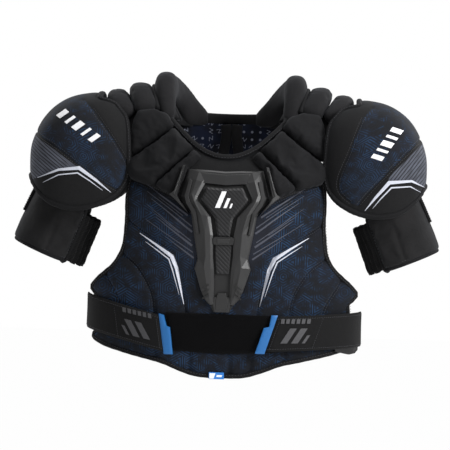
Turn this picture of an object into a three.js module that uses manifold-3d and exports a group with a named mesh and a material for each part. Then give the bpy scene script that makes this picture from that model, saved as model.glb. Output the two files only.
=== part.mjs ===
// Ice hockey shoulder pads. Millimetres, +Z up, front of the chest faces -Y,
// the wearer's left is +X. Origin: middle of the whole width and depth, at the
// level of the lowest bottom edge of the chest panel.
import * as THREE from 'three';
import { mergeVertices } from 'three/addons/utils/BufferGeometryUtils.js';
import Module from 'manifold-3d';

const wasm = await Module();
wasm.setup();

// ---------------------------------------------------------- shared dimensions
const FRONT = -1;
const BACK = 1;
const DEPTH_SHIFT = 11.385; // centres the whole depth on the origin

const SHELL_T = 6.5; // quilted chest and back panels
const LINER_T = 9; // foam liner behind a panel
const LINER_DEPTH = 3.4; // from the torso surface in to the liner's outer face
const GAP = 1.1; // air between stacked layers
const OUTER_LAYER = SHELL_T + GAP; // offset where parts lying on a panel start
const EDGE_W = 5.5; // width of the sewn edge binding
const SEAM = 0.5; // between a panel and its binding

// ------------------------------------------------------------------ materials
const material = (color, roughness) => ({ color, roughness });
const MATERIALS = Object.fromEntries(Object.entries({
  fabric: material(0x12141a, 0.9),
  navy: material(0x152238, 0.85),
  foam: material(0x1a1d26, 0.95),
  shell: material(0x18191c, 0.45),
  carbon: material(0x26282c, 0.4),
  liner: material(0x171d2e, 0.95),
  binding: material(0x0b0b0d, 0.8),
  webbing: material(0x121316, 0.75),
  blue: material(0x2c78c8, 0.6),
  loop: material(0x0e0e10, 1.0),
}).map(([name, look]) => [name, new THREE.MeshStandardMaterial({ ...look, metalness: 0 })]));

// ---------------------------------------------------------------- small maths
const radians = (degrees) => degrees * Math.PI / 180;
const lerp = (start, end, t) => start + (end - start) * t;
const signedPower = (value, exponent) => Math.sign(value) * Math.abs(value) ** exponent;

// --------------------------------------------------------------------- solids
function toSolid(geometry) {
  const bare = geometry.clone();
  bare.deleteAttribute('normal');
  bare.deleteAttribute('uv');
  const merged = mergeVertices(bare, 1e-4);
  return new wasm.Manifold(new wasm.Mesh({
    numProp: 3,
    vertProperties: new Float32Array(merged.attributes.position.array),
    triVerts: new Uint32Array(merged.index.array),
  }));
}

// as toSolid, but turns an inside-out surface the right way round
function outwardSolid(geometry) {
  const solid = toSolid(geometry);
  if (solid.volume() >= 0) return solid;
  const index = geometry.index;
  for (let i = 0; i < index.count; i += 3) {
    const second = index.getX(i + 1);
    index.setX(i + 1, index.getX(i + 2));
    index.setX(i + 2, second);
  }
  return toSolid(geometry);
}

function toGeometry(solid) {
  const { vertProperties, triVerts } = solid.getMesh();
  const geometry = new THREE.BufferGeometry();
  const positions = new Float32Array(vertProperties);
  geometry.setAttribute('position', new THREE.BufferAttribute(positions, 3));
  geometry.setIndex(new THREE.BufferAttribute(new Uint32Array(triVerts), 1));
  return geometry;
}

// a box of nx by ny by nz cells; pointAt maps its unit coordinates u, v, w to a point
function warpedBox(nx, ny, nz, pointAt) {
  const geometry = new THREE.BoxGeometry(1, 1, 1, nx, ny, nz);
  const position = geometry.attributes.position;
  for (let i = 0; i < position.count; i++) {
    const u = position.getX(i) + 0.5;
    const v = position.getY(i) + 0.5;
    const w = position.getZ(i) + 0.5;
    const point = pointAt(u, v, w);
    position.setXYZ(i, point.x, point.y, point.z);
  }
  return geometry;
}

function polygon(points) {
  const shape = new THREE.Shape();
  points.forEach(([a, b], i) => (i ? shape.lineTo(a, b) : shape.moveTo(a, b)));
  shape.closePath();
  return shape;
}

function extrude(points, depth, placement) {
  const geometry = new THREE.ExtrudeGeometry(polygon(points), { depth, bevelEnabled: false });
  return toSolid(geometry.applyMatrix4(placement));
}

// prism whose outline lies in X and Z, running from y0 to y1
function prismXZ(points, y0, y1) {
  return extrude(points, y1 - y0, new THREE.Matrix4().set(
    1, 0, 0, 0,
    0, 0, -1, y1,
    0, 1, 0, 0,
    0, 0, 0, 1,
  ));
}

// prism whose outline lies in Y and Z, running from x0 to x1
function prismYZ(points, x0, x1) {
  return extrude(points, x1 - x0, new THREE.Matrix4().set(
    0, 0, 1, x0,
    1, 0, 0, 0,
    0, 1, 0, 0,
    0, 0, 0, 1,
  ));
}

// prism deep enough to pass through the whole of the pads
const throughXZ = (points) => prismXZ(points, -300, 300);

// ------------------------------------------------------------------- outlines
// All outlines of torso pieces are [x, z] points.

// completes a half outline with its mirror image; points on the middle line are shared
function mirrorOutline(half) {
  const otherHalf = half.filter(([x]) => x !== 0).map(([x, z]) => [-x, z]);
  return [...half, ...otherHalf.reverse()];
}

// moves an outline inwards, or outwards if the distance is negative
function inset(points, distance) {
  const count = points.length;
  let area = 0;
  for (let i = 0; i < count; i++) {
    const [x0, z0] = points[i];
    const [x1, z1] = points[(i + 1) % count];
    area += x0 * z1 - x1 * z0;
  }
  const turn = Math.sign(area);
  const inwardNormal = (from, to) => {
    const dx = to[0] - from[0];
    const dz = to[1] - from[1];
    const length = Math.hypot(dx, dz);
    return [-dz / length * turn, dx / length * turn];
  };
  return points.map((point, i) => {
    const before = inwardNormal(points[(i + count - 1) % count], point);
    const after = inwardNormal(point, points[(i + 1) % count]);
    const miter = [before[0] + after[0], before[1] + after[1]];
    const alignment = miter[0] * before[0] + miter[1] * before[1];
    // both limits act on the reach of a sharp corner
    const reach = Math.min(distance / Math.max(0.35, alignment), 2.2 * distance);
    return [point[0] + miter[0] * reach, point[1] + miter[1] * reach];
  });
}

// ---------------------------------------------------------------- torso shape
// stations: [height, size]
const HALF_WIDTHS = [
  [-20, 202], [30, 204], [60, 198], [88, 190], [108, 194], [126, 204], [140, 200],
  [152, 192], [175, 181], [200, 174], [260, 166], [330, 166], [385, 173], [440, 180],
];
const FRONT_DEPTHS = [
  [-20, 108], [0, 112], [60, 124], [150, 130], [230, 128], [280, 116],
  [320, 100], [350, 86], [380, 67], [400, 52], [440, 30],
];
const BACK_DEPTHS = [
  [-20, 92], [60, 100], [150, 108], [230, 110], [300, 104], [350, 92], [385, 78], [440, 60],
];
const TORSO_EXPONENT = 2.4; // of the superellipse in plan
const MAX_SLAB_WIDTH = 0.985; // of the half width; slabs stop short of the side
const MAX_BOW_WIDTH = 0.988; // of the half width; keeps the slope finite at the side

// [height step, weight], smooths the stations so that the panels carry no sharp creases
const SMOOTHING = [[-12, 1], [-6, 2], [0, 3], [6, 2], [12, 1]];
const SMOOTHING_TOTAL = 9;

function interpolate(stations, z) {
  const above = stations.findIndex(([height]) => z <= height);
  // 0 is below the first station, -1 is above the last
  if (above <= 0) return stations.at(above)[1];
  const [z0, size0] = stations[above - 1];
  const [z1, size1] = stations[above];
  return size0 + (size1 - size0) * ((z - z0) / (z1 - z0));
}

function smoothed(stations, z) {
  let sum = 0;
  for (const [step, weight] of SMOOTHING) sum += weight * interpolate(stations, z + step);
  return sum / SMOOTHING_TOTAL;
}

const halfWidth = (z) => smoothed(HALF_WIDTHS, z);

function torsoDepth(x, z, depths) {
  const across = Math.min(Math.abs(x) / halfWidth(z), MAX_BOW_WIDTH);
  return smoothed(depths, z) * (1 - across ** TORSO_EXPONENT) ** (1 / TORSO_EXPONENT);
}

// point on the torso at (x, z), moved off the surface along its normal
function onTorso(x, z, offset, side) {
  const depths = side === FRONT ? FRONT_DEPTHS : BACK_DEPTHS;
  const step = 0.5;
  const depthAt = (atX, atZ) => torsoDepth(atX, atZ, depths);
  const y = depthAt(x, z);
  const slopeX = (depthAt(x + step, z) - depthAt(x - step, z)) / (2 * step);
  const slopeZ = (depthAt(x, z + step) - depthAt(x, z - step)) / (2 * step);
  const length = Math.hypot(slopeX, 1, slopeZ);
  return new THREE.Vector3(
    x - slopeX / length * offset,
    side * (y + offset / length),
    z - slopeZ / length * offset,
  );
}

// slab of torso surface between two offsets, over the outline's extent;
// cell is the mesh cell size
function torsoSlab(outline, { side, from, to, cell }) {
  const marginX = 14;
  const marginZ = 9;
  const xs = outline.map(([x]) => x);
  const zs = outline.map(([, z]) => z);
  const x0 = Math.min(...xs) - marginX;
  const x1 = Math.max(...xs) + marginX;
  const z0 = Math.min(...zs) - marginZ;
  const z1 = Math.max(...zs) + marginZ;
  const nx = Math.max(2, Math.round((x1 - x0) / cell));
  const nz = Math.max(2, Math.round((z1 - z0) / cell));
  return toSolid(warpedBox(nx, 1, nz, (u, v, w) => {
    const z = lerp(z0, z1, w);
    const limit = MAX_SLAB_WIDTH * halfWidth(z);
    const x = Math.max(-limit, Math.min(limit, lerp(x0, x1, u)));
    // v = 0 is the face towards -Y
    return onTorso(x, z, lerp(from, to, side === FRONT ? 1 - v : v), side);
  }));
}

// torso slab trimmed to an outline, less any holes
function torsoPiece(outline, { side = FRONT, holes = [], ...slab }) {
  const [y0, y1] = side === FRONT ? [-260, 10] : [-10, 260];
  let piece = torsoSlab(outline, { side, ...slab }).intersect(prismXZ(outline, y0, y1));
  for (const hole of holes) piece = piece.subtract(throughXZ(hole));
  return piece;
}

// ------------------------------------------------------------------ the group
const pads = new THREE.Group();
pads.position.y = DEPTH_SHIFT;

function add(name, solid, look) {
  const geometry = toGeometry(solid);
  geometry.computeVertexNormals();
  const mesh = new THREE.Mesh(geometry, MATERIALS[look]);
  mesh.name = name;
  pads.add(mesh);
}

// adds a right-side piece and its mirror image on the left
function addPair(name, solid, look) {
  add(`${name}_right`, solid, look);
  add(`${name}_left`, solid.mirror([1, 0, 0]), look);
}

// quilted panel with a binding sewn round its edge
function addPanel({ panel, binding, outline, side, cell }) {
  const shell = inset(outline, EDGE_W + SEAM);
  add(panel, torsoPiece(shell, { side, from: 0, to: SHELL_T, cell }), 'navy');
  add(binding, torsoPiece(outline, {
    side, from: -1.5, to: SHELL_T + 1.6, cell: 60, holes: [inset(outline, EDGE_W)],
  }), 'binding');
}

function addLiner(name, outline, side) {
  const from = -LINER_DEPTH - LINER_T;
  add(name, torsoPiece(outline, { side, from, to: -LINER_DEPTH, cell: 56 }), 'liner');
}

// ---------------------------------------------------------------- chest panel
// right half, from the bottom middle round to the middle of the neckline
const CHEST_HALF = [
  [0, 0], [-34, 1.5], [-60, 9], [-87, 19.5], [-118, 26.7], [-148, 33.6], [-172, 40],
  [-189, 48], [-190, 58], [-183, 68], [-183, 108], [-190, 118], [-196, 127], [-184, 141],
  [-174, 150], [-161, 163], [-151, 181], [-146.5, 200], [-145, 230], [-145.5, 255],
  [-143.5, 282], [-138, 310], [-134, 335], [-128, 354], [-116, 363], [-84, 364],
  [-66, 347.5], [-48, 331.5], [-30, 320.5], [-14, 315.6], [0, 315],
];
const FRONT_LINER_HALF = [
  [0, 18], [-34, 20], [-62, 28], [-120, 44], [-160, 56], [-170, 70], [-172, 100],
  [-168, 118], [-156, 138], [-143, 158], [-131, 182], [-127, 215], [-127, 280],
  [-125, 326], [-112, 344], [-88, 344], [-70, 326], [-48, 308], [-24, 297], [0, 295],
];
addPanel({
  panel: 'chest_shell',
  binding: 'front_edge_binding',
  outline: mirrorOutline(CHEST_HALF),
  side: FRONT,
  cell: 36,
});
addLiner('front_liner', mirrorOutline(FRONT_LINER_HALF), FRONT);

// neckline binding: right halves of its lower and upper edges
const NECK_LOWER = [[-83, 366.5], [-65, 350], [-47, 334], [-29.5, 323], [-13.5, 318], [0, 317.4]];
const NECK_UPPER = [[-79, 377], [-71, 368], [-53, 350], [-31, 334], [-12, 328], [0, 327]];
const NECK = [...mirrorOutline(NECK_LOWER), ...mirrorOutline(NECK_UPPER).reverse()];
add('neck_binding', torsoPiece(NECK, { from: -2, to: SHELL_T + 2.5, cell: 24 }), 'binding');

// ---------------------------------------------------------- clavicle cushions
// three on each side, over the top of the chest panel
const CLAVICLE_BASE = SHELL_T + 2.9;
const CLAVICLE_TOP = CLAVICLE_BASE + 13;
const CLAVICLES = {
  clavicle_inner: [
    [-47.5, 329.5], [-38, 320.5], [-47, 311.5], [-54.5, 303], [-61, 288],
    [-69, 271], [-75.5, 266.2], [-91, 272], [-97.5, 279], [-95.5, 283],
  ],
  clavicle_middle: [
    [-77.5, 359.5], [-50.5, 333], [-98.8, 285.2], [-101.5, 278.5],
    [-118, 281], [-134, 287], [-138, 296], [-138.5, 313],
  ],
  clavicle_outer: [
    [-131, 385], [-108, 386], [-90, 379.5], [-82, 368], [-80.5, 364.2],
    [-139, 318.5], [-138.5, 350], [-135.5, 372],
  ],
};
for (const [name, outline] of Object.entries(CLAVICLES)) {
  const cushion = torsoPiece(outline, { from: CLAVICLE_BASE, to: CLAVICLE_TOP, cell: 22 });
  addPair(name, cushion, 'fabric');
}

// -------------------------------------------------------------- sternum guard
// a dark base pad, a moulded frame, the inserts and two side fins
const STERNUM_PAD = mirrorOutline([
  [-12, 97], [-15, 108], [-22, 128], [-30, 160], [-34, 205], [-38, 240], [-30, 270], [0, 276],
]);
const STERNUM_FRAME = mirrorOutline([
  [-17, 108], [-20, 116], [-25.2, 116.5], [-30.9, 130.2], [-40.5, 161.1], [-36.5, 174.9],
  [-42.3, 209.1], [-47, 237.6], [-57, 249], [-63.5, 262], [-54, 302], [-45.5, 304.6],
  [-24, 301], [0, 299.5],
]);
// open slot up the lower part of the frame
const FRAME_SLOT = mirrorOutline([
  [-10.2, 106], [-10.6, 125.2], [-11.3, 153], [-15.5, 192.1], [-18.5, 214],
]);
const SHIELD = [
  [-26.4, 277.7], [0, 275.8], [26.4, 277.7], [35.4, 258.7], [14.1, 231.9],
  [10.1, 206.5], [-10.1, 206.5], [-14.1, 231.9], [-35.4, 258.7],
];
const SPINE_INSERT = [[-13, 197], [13, 197], [9, 154], [-9, 154]];
const FIN = [
  [-55.2, 302.6], [-59, 302.4], [-69.2, 267.7], [-75, 263.2],
  [-48.6, 238.4], [-58.3, 249.2], [-64.7, 262],
];
const SHIELD_CLEARANCE = 0.5;
const INSERT_BASE = OUTER_LAYER + 3.6;

add('sternum_base_pad', torsoPiece(STERNUM_PAD, {
  from: OUTER_LAYER, to: OUTER_LAYER + 2.2, cell: 22,
}), 'loop');
add('sternum_frame', torsoPiece(STERNUM_FRAME, {
  from: OUTER_LAYER + 3.5,
  to: OUTER_LAYER + 12,
  cell: 20,
  holes: [FRAME_SLOT, inset(SHIELD, -SHIELD_CLEARANCE)],
}), 'shell');
add('sternum_shield_insert', torsoPiece(SHIELD, {
  from: INSERT_BASE, to: OUTER_LAYER + 10.6, cell: 24,
}), 'carbon');
add('sternum_spine_insert', torsoPiece(SPINE_INSERT, {
  from: INSERT_BASE, to: OUTER_LAYER + 9, cell: 30,
}), 'carbon');
addPair('sternum_fin', torsoPiece(FIN, {
  from: CLAVICLE_TOP + 1.2, to: CLAVICLE_TOP + 4.2, cell: 24,
}), 'shell');

// -------------------------------------------------------------- belly closure
// loop patch on the chest panel, and a size tab near its bottom edge
const PATCH_TOP = OUTER_LAYER + 1.6;
const LOOP_PATCH = [
  [-79, 41.5], [0, 37.5], [70, 41.5], [78, 43], [78, 93], [0, 94], [-79, 94],
];
const SIZE_TAB = [[-16, 9.4], [5.8, 9.4], [5.8, 0.3], [-16, 0.3]];
add('belly_loop_patch', torsoPiece(LOOP_PATCH, {
  from: OUTER_LAYER, to: PATCH_TOP, cell: 30,
}), 'loop');
add('size_tab', torsoPiece(SIZE_TAB, {
  from: SHELL_T + 2.2, to: SHELL_T + 3.4, cell: 12,
}), 'blue');

// --------------------------------------------------------------- belly straps
// Bands round the side of the torso, on a superellipse of their own.
const STRAP_PATH = { halfWidth: 190, frontDepth: 125.5, backDepth: 102 };
const STRAP_BASE = PATCH_TOP + GAP + 2.6;
const STRAP_TOP = STRAP_BASE + 3.2;
const STRAP_HALF = 25.5; // half the strap height
const STRAP_REAR_ANGLE = radians(4);
const HOOK_GAP = 0.9; // above and below the hook patch
// the middle line of each band is at height `z` at distance `x` from the middle
// and climbs by `slope`; trims are [x, z] outlines
const BELTS = {
  right: {
    sign: -1,
    line: { x: 80, z: 62, slope: 0.237 },
    tipX: 60,
    hookX: 88,
    tipTrim: [
      [-88.3, 92.4], [-81.6, 90.6], [-77.6, 75], [-72.6, 73], [-67.4, 33], [-79.4, 33],
    ],
    strapTrim: [
      [-89.2, 120], [-89.2, 92.9], [-80.3, 34], [-80.3, -5], [-260, -5], [-260, 160],
      [-89.2, 160],
    ],
  },
  left: {
    sign: 1,
    line: { x: 62, z: 66.5, slope: 0.05 },
    tipX: 42,
    hookX: 72,
    tipTrim: [[79.8, 95], [71.2, 95], [68.5, 78.1], [61, 76], [49.5, 38], [62.4, 38]],
    strapTrim: [
      [80.6, 160], [80.6, 95], [63.3, 38], [63.3, -5], [260, -5], [260, 160],
    ],
  },
};

const beltHeight = ({ line }, x) => line.z + (x - line.x) * line.slope;

// angle 0 is the side of the torso, 90 degrees the middle of the front
function aroundTorso(angle, z, offset, sign) {
  const width = STRAP_PATH.halfWidth;
  const sine = Math.sin(angle);
  const depth = sine >= 0 ? STRAP_PATH.frontDepth : STRAP_PATH.backDepth;
  const x = width * Math.abs(Math.cos(angle)) ** (2 / TORSO_EXPONENT);
  const y = -depth * signedPower(sine, 2 / TORSO_EXPONENT);
  const normalX = (x / width) ** (TORSO_EXPONENT - 1) / width;
  const normalY = signedPower(y / depth, TORSO_EXPONENT - 1) / depth;
  const length = Math.hypot(normalX, normalY);
  return new THREE.Vector3(
    sign * (x + normalX / length * offset),
    y + normalY / length * offset,
    z,
  );
}

const angleAtX = (x) => Math.acos((x / STRAP_PATH.halfWidth) ** (TORSO_EXPONENT / 2));

// band from frontX back to rearAngle
function band(belt, { frontX, rearAngle, from, to, half = STRAP_HALF, cells }) {
  const lineOffset = 10; // offset at which the height of the band is read
  const frontAngle = angleAtX(frontX);
  return outwardSolid(warpedBox(cells, 1, 1, (u, v, w) => {
    const angle = lerp(frontAngle, rearAngle, u);
    const middle = beltHeight(belt, aroundTorso(angle, 0, lineOffset, 1).x);
    const z = middle + (w - 0.5) * 2 * half;
    return aroundTorso(angle, z, lerp(from, to, 1 - v), belt.sign);
  }));
}

for (const [side, belt] of Object.entries(BELTS)) {
  const strap = band(belt, {
    frontX: belt.tipX,
    rearAngle: STRAP_REAR_ANGLE,
    from: STRAP_BASE,
    to: STRAP_TOP,
    cells: 12,
  });
  const tip = band(belt, {
    frontX: belt.tipX,
    rearAngle: angleAtX(110),
    from: STRAP_BASE,
    to: STRAP_TOP + 0.5,
    cells: 3,
  });
  const hook = band(belt, {
    frontX: belt.hookX,
    rearAngle: angleAtX(128),
    from: PATCH_TOP + HOOK_GAP,
    to: STRAP_BASE - HOOK_GAP,
    half: STRAP_HALF - 4,
    cells: 4,
  });
  add(`belt_strap_${side}`, strap.intersect(throughXZ(belt.strapTrim)), 'webbing');
  add(`belt_tip_${side}`, tip.intersect(throughXZ(belt.tipTrim)), 'blue');
  add(`belt_hook_${side}`, hook, 'loop');
}

// ----------------------------------------------------- back panel and padding
// right half, from the bottom middle to the top middle
const BACK_OUTLINE = mirrorOutline([
  [0, 26], [-40, 27], [-90, 34], [-140, 44], [-170, 52], [-182, 62], [-183, 106],
  [-178, 130], [-160, 152], [-149, 178], [-144, 215], [-140, 262], [-131, 290],
  [-127, 330], [-120, 350], [-106, 362], [-60, 366], [0, 362],
]);
const SPINE_PAD = [
  [-34, 66], [34, 66], [42, 150], [46, 250], [40, 325], [24, 340],
  [-24, 340], [-40, 325], [-46, 250], [-42, 150],
];
const SPINE_SLAB_CORNERS = [[-46, 60], [46, 340]];
const SPINE_FACE_Y = 127; // flat rear face, the one the pads rest on when laid down
const BACK_SIDE_PAD = [
  [-52, 64], [-120, 72], [-160, 84], [-158, 112], [-140, 140], [-128, 176],
  [-124, 300], [-114, 334], [-60, 340], [-56, 250], [-52, 150],
];
addPanel({
  panel: 'back_panel',
  binding: 'back_edge_binding',
  outline: BACK_OUTLINE,
  side: BACK,
  cell: 42,
});
addLiner('back_liner', inset(BACK_OUTLINE, 20), BACK);
add('back_spine_pad', torsoSlab(SPINE_SLAB_CORNERS, {
  side: BACK, from: OUTER_LAYER + 1, to: OUTER_LAYER + 26, cell: 26,
}).intersect(prismXZ(SPINE_PAD, 20, SPINE_FACE_Y)), 'fabric');
addPair('back_side_pad', torsoPiece(BACK_SIDE_PAD, {
  side: BACK, from: OUTER_LAYER + 4.2, to: OUTER_LAYER + 12, cell: 40,
}), 'fabric');

// ----------------------------------------------------------- shoulder arches
// Angles run from front to back over the shoulder, 0 at the top.
const ARCH_Z = 340; // centre height of the arches
const ARCH_CELLS = 10;

// structural yoke under the rolls
const YOKE = {
  inner: { ry: 46, rz: 57 }, // radii of the underside
  outer: { ry: 55, rz: 66 }, // radii of the upper side
  endAngle: radians(52),
  x0: -147,
  x1: -86,
  endShift: 12, // the ends lie this much nearer the middle than the top
};
// flat seat in the underside, for a shoulder or a hanger, [y, z]
const YOKE_SEAT = [[-21, 380], [21, 380], [19, 397.5], [-19, 397.5]];

function yoke() {
  const { inner, outer, endAngle, x0, x1, endShift } = YOKE;
  const arch = toSolid(warpedBox(2, ARCH_CELLS, 1, (u, v, w) => {
    const angle = -endAngle + 2 * endAngle * v;
    return new THREE.Vector3(
      lerp(x0, x1, u) + endShift * (angle / endAngle) ** 2,
      lerp(inner.ry, outer.ry, w) * Math.sin(angle),
      ARCH_Z + lerp(inner.rz, outer.rz, w) * Math.cos(angle),
    );
  }));
  return arch.subtract(prismYZ(YOKE_SEAT, -170, -60));
}

// cushion roll: an octagonal section swept over the shoulder from front to back;
// topX and endX are distances from the middle, ry and rz the outer radii
function roll({ topX, endX, halfWidthX, ry, rz, thickness, endDegrees }) {
  const sides = 8;
  const bulge = 1.06;
  const endPinch = 0.35; // share of the thickness lost at the ends
  const endAngle = radians(endDegrees);
  const positions = [];
  const index = [];
  for (let i = 0; i <= ARCH_CELLS; i++) {
    const along = i / ARCH_CELLS;
    const angle = -endAngle + 2 * endAngle * along;
    const pinch = 1 - endPinch * Math.abs(2 * along - 1) ** 6;
    const centreX = -(topX + (endX - topX) * (angle / endAngle) ** 2);
    for (let j = 0; j < sides; j++) {
      const turn = (j + 0.5) / sides * Math.PI * 2;
      const radial = -thickness / 2 + thickness / 2 * Math.cos(turn) * bulge * pinch;
      positions.push(
        centreX + halfWidthX * bulge * Math.sin(turn),
        (ry + radial) * Math.sin(angle),
        ARCH_Z + (rz + radial) * Math.cos(angle),
      );
    }
  }
  for (let i = 0; i < ARCH_CELLS; i++) {
    for (let j = 0; j < sides; j++) {
      const here = i * sides + j;
      const beside = i * sides + (j + 1) % sides;
      index.push(here, beside, beside + sides, here, beside + sides, here + sides);
    }
  }
  const last = ARCH_CELLS * sides;
  for (let j = 1; j < sides - 1; j++) {
    index.push(0, j + 1, j);
    index.push(last, last + j, last + j + 1);
  }
  const geometry = new THREE.BufferGeometry();
  geometry.setAttribute('position', new THREE.BufferAttribute(new Float32Array(positions), 3));
  geometry.setIndex(index);
  return outwardSolid(geometry);
}

addPair('shoulder_yoke', yoke(), 'foam');
addPair('arch_roll_inner', roll({
  topX: 134.5, endX: 118.5, halfWidthX: 15.2, ry: 78, rz: 91, thickness: 23, endDegrees: 54,
}), 'fabric');
addPair('arch_roll_outer', roll({
  topX: 169.5, endX: 153, halfWidthX: 13.2, ry: 77, rz: 78.5, thickness: 21, endDegrees: 52,
}), 'fabric');

// ----------------------------------------------------------- collar and neck
// stations from front to back: centre x, centre y, bottom z, top z, half thickness
const COLLAR = [
  [-87, -55, 372, 386, 8],
  [-94, -44, 389, 414, 10],
  [-100, -28, 406, 438, 11.5],
  [-102, -6, 412, 447, 12],
  [-100, 18, 411, 444, 11.5],
  [-91, 42, 398, 432, 11],
  [-76, 60, 377, 416, 10],
  [-56, 71, 373, 400, 9],
  [-40, 77, 373, 390, 7],
];

// cushion beside the neck, one row of cells between each two stations
function collar() {
  const last = COLLAR.length - 1;
  return toSolid(warpedBox(last, 2, 3, (u, v, w) => {
    const station = Math.round(u * last);
    const [x, y, bottom, top, halfThickness] = COLLAR[station];
    const before = COLLAR[Math.max(0, station - 1)];
    const after = COLLAR[Math.min(last, station + 1)];
    const alongX = after[0] - before[0];
    const alongY = after[1] - before[1];
    const length = Math.hypot(alongX, alongY);
    // thinner towards the top and bottom
    const rounding = 1 - 0.45 * Math.abs(2 * w - 1) ** 3;
    const across = (v - 0.5) * 2 * halfThickness * rounding;
    return new THREE.Vector3(
      x + -alongY / length * across,
      y + alongX / length * across,
      lerp(bottom, top, w),
    );
  }));
}
addPair('collar', collar(), 'fabric');

// binding across the back of the neck, between the two collars
const NECK_BAND = { halfLength: 37, y: 79, bow: 3.5, thickness: 8, z: 373, height: 15.5 };
add('back_neck_binding', toSolid(warpedBox(8, 1, 1, (u, v, w) => {
  const { halfLength, y, bow, thickness, z, height } = NECK_BAND;
  const x = -halfLength + 2 * halfLength * u;
  const middleY = y + bow * (1 - (x / halfLength) ** 2);
  return new THREE.Vector3(x, middleY + (v - 0.5) * thickness, z + height * w);
})), 'binding');

// hanging loop of webbing behind the neck: [x, y, z] points of its path, and its section
const HANG_LOOP_PATH = [
  [-26, 107.5, 352], [-24, 108.5, 362], [-12, 112, 374], [0, 114, 378],
  [12, 112, 374], [24, 108.5, 362], [26, 107.5, 352],
];
const HANG_LOOP_SECTION = [[-1.1, -4.5], [1.1, -4.5], [1.1, 4.5], [-1.1, 4.5]];
add('hang_loop', toSolid(new THREE.ExtrudeGeometry(polygon(HANG_LOOP_SECTION), {
  steps: 12,
  extrudePath: new THREE.CatmullRomCurve3(
    HANG_LOOP_PATH.map((point) => new THREE.Vector3(...point)),
  ),
  bevelEnabled: false,
})), 'webbing');

// -------------------------------------------------------------- shoulder caps
// centre (x as a distance from the middle), outer radii, rise per mm towards +X on
// the right cap, and wall thickness
const CAP = { x: 212, y: -8, z: 324, rx: 84, ry: 104, rz: 90, shear: 0.12, wall: 5 };
const CAP_PLAN_EXPONENT = 2.8;
const CAP_PROFILE_X = 2.1; // superellipse exponents of the upright profiles
const CAP_PROFILE_Y = 2.6;
const CAP_BINDING_W = 6;
const CAP_SEAM = 0.4;
// outline of the cap seen from the front, [x, z]
const CAP_RIM = [
  [-160, 392], [-150, 378], [-146, 360], [-144, 330], [-144, 304], [-148, 282],
  [-158, 266], [-170, 256], [-187, 247], [-207, 241.5], [-233, 240.7], [-258, 247],
  [-277, 261], [-289, 279], [-305, 300], [-310, 440], [-160, 440],
];
// opening in the inner top of the cap
const CAP_NOTCH = { outerX: 188, innerX: 60, y0: -66, y1: 64, bottom: 366, top: 460 };

// bell-shaped solid, `depth` inside the outer surface, down to height zLow
function bell(depth, zLow) {
  const geometry = new THREE.SphereGeometry(1, 18, 7);
  const position = geometry.attributes.position;
  const drop = CAP.z - zLow;
  for (let i = 0; i < position.count; i++) {
    // the sphere's pole is turned from +Y to +Z
    const around = Math.atan2(position.getZ(i), position.getX(i));
    const latitude = Math.asin(Math.max(-1, Math.min(1, position.getY(i))));
    let z;
    let scaleX;
    let scaleY;
    if (latitude > 0) {
      const rise = Math.sin(latitude);
      z = CAP.z + (CAP.rz - depth) * rise;
      scaleX = Math.max(0, 1 - rise ** CAP_PROFILE_X) ** (1 / CAP_PROFILE_X);
      scaleY = Math.max(0, 1 - rise ** CAP_PROFILE_Y) ** (1 / CAP_PROFILE_Y);
    } else {
      // the lower rows drop to the rim and draw in, the last one closes the solid flat
      const below = -latitude / (Math.PI / 2);
      const fall = Math.min(1, below * 1.35);
      z = CAP.z - drop * fall;
      scaleX = 1 - 0.16 * (fall * drop / 100) ** 2;
      if (below > 0.76) scaleX *= Math.max(0, (1 - below) / 0.25);
      scaleY = scaleX;
    }
    const planX = signedPower(Math.cos(around), 2 / CAP_PLAN_EXPONENT);
    const planY = signedPower(Math.sin(around), 2 / CAP_PLAN_EXPONENT);
    const x = -CAP.x + (CAP.rx - depth) * scaleX * planX;
    const y = CAP.y + (CAP.ry - depth) * scaleY * planY;
    position.setXYZ(i, x, y, z + CAP.shear * (x + CAP.x));
  }
  return outwardSolid(geometry);
}

function capNotch(margin) {
  const y0 = CAP_NOTCH.y0 - margin;
  const y1 = CAP_NOTCH.y1 + margin;
  const bottom = CAP_NOTCH.bottom - margin;
  const { top, outerX, innerX } = CAP_NOTCH;
  return prismYZ([[y0, bottom], [y1, bottom], [y1, top], [y0, top]], -(outerX + margin), -innerX);
}

// cap layer between two depths, set back from the rim and from the notch
function capLayer(outer, inner, rimMargin, notchMargin = rimMargin) {
  return bell(outer, 215)
    .subtract(bell(inner, 190))
    .intersect(throughXZ(inset(CAP_RIM, rimMargin)))
    .subtract(capNotch(notchMargin));
}

const capBinding = capLayer(-1.2, CAP.wall + 1.2, 0)
  .subtract(capLayer(-3, CAP.wall + 3, CAP_BINDING_W));
addPair('cap_cover', capLayer(0, CAP.wall, CAP_BINDING_W + CAP_SEAM), 'navy');
addPair('cap_binding', capBinding, 'binding');
addPair('cap_insert', capLayer(CAP.wall + 1.4, CAP.wall + 3.8, 16, 14), 'shell');
addPair('cap_liner', capLayer(CAP.wall + 5.8, CAP.wall + 13, 12, 10), 'liner');

// -------------------------------------------------------------- biceps guards
// Cuff frame: height runs up the arm from the lower end, angle 0 is the outer side.
const ARM = { x: -268, y: -6, z: 173, tilt: radians(22.7), rx: 54, ry: 57, length: 86 };
const ARM_TAPER = 0.05; // share by which the lower end is wider
const ARM_UP = new THREE.Vector3(Math.sin(ARM.tilt), 0, Math.cos(ARM.tilt));
const ARM_OUT = new THREE.Vector3(-Math.cos(ARM.tilt), 0, Math.sin(ARM.tilt));

// point at a depth inside the outer surface of the cuff
function cuffPoint(angle, height, depth) {
  const taper = 1 + ARM_TAPER * (1 - height / ARM.length);
  const rx = ARM.rx * taper - depth;
  const ry = ARM.ry * taper - depth;
  return new THREE.Vector3(ARM.x, ARM.y, ARM.z)
    .addScaledVector(ARM_UP, height)
    .addScaledVector(ARM_OUT, rx * Math.cos(angle))
    .add(new THREE.Vector3(0, ry * Math.sin(angle), 0));
}

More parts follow.
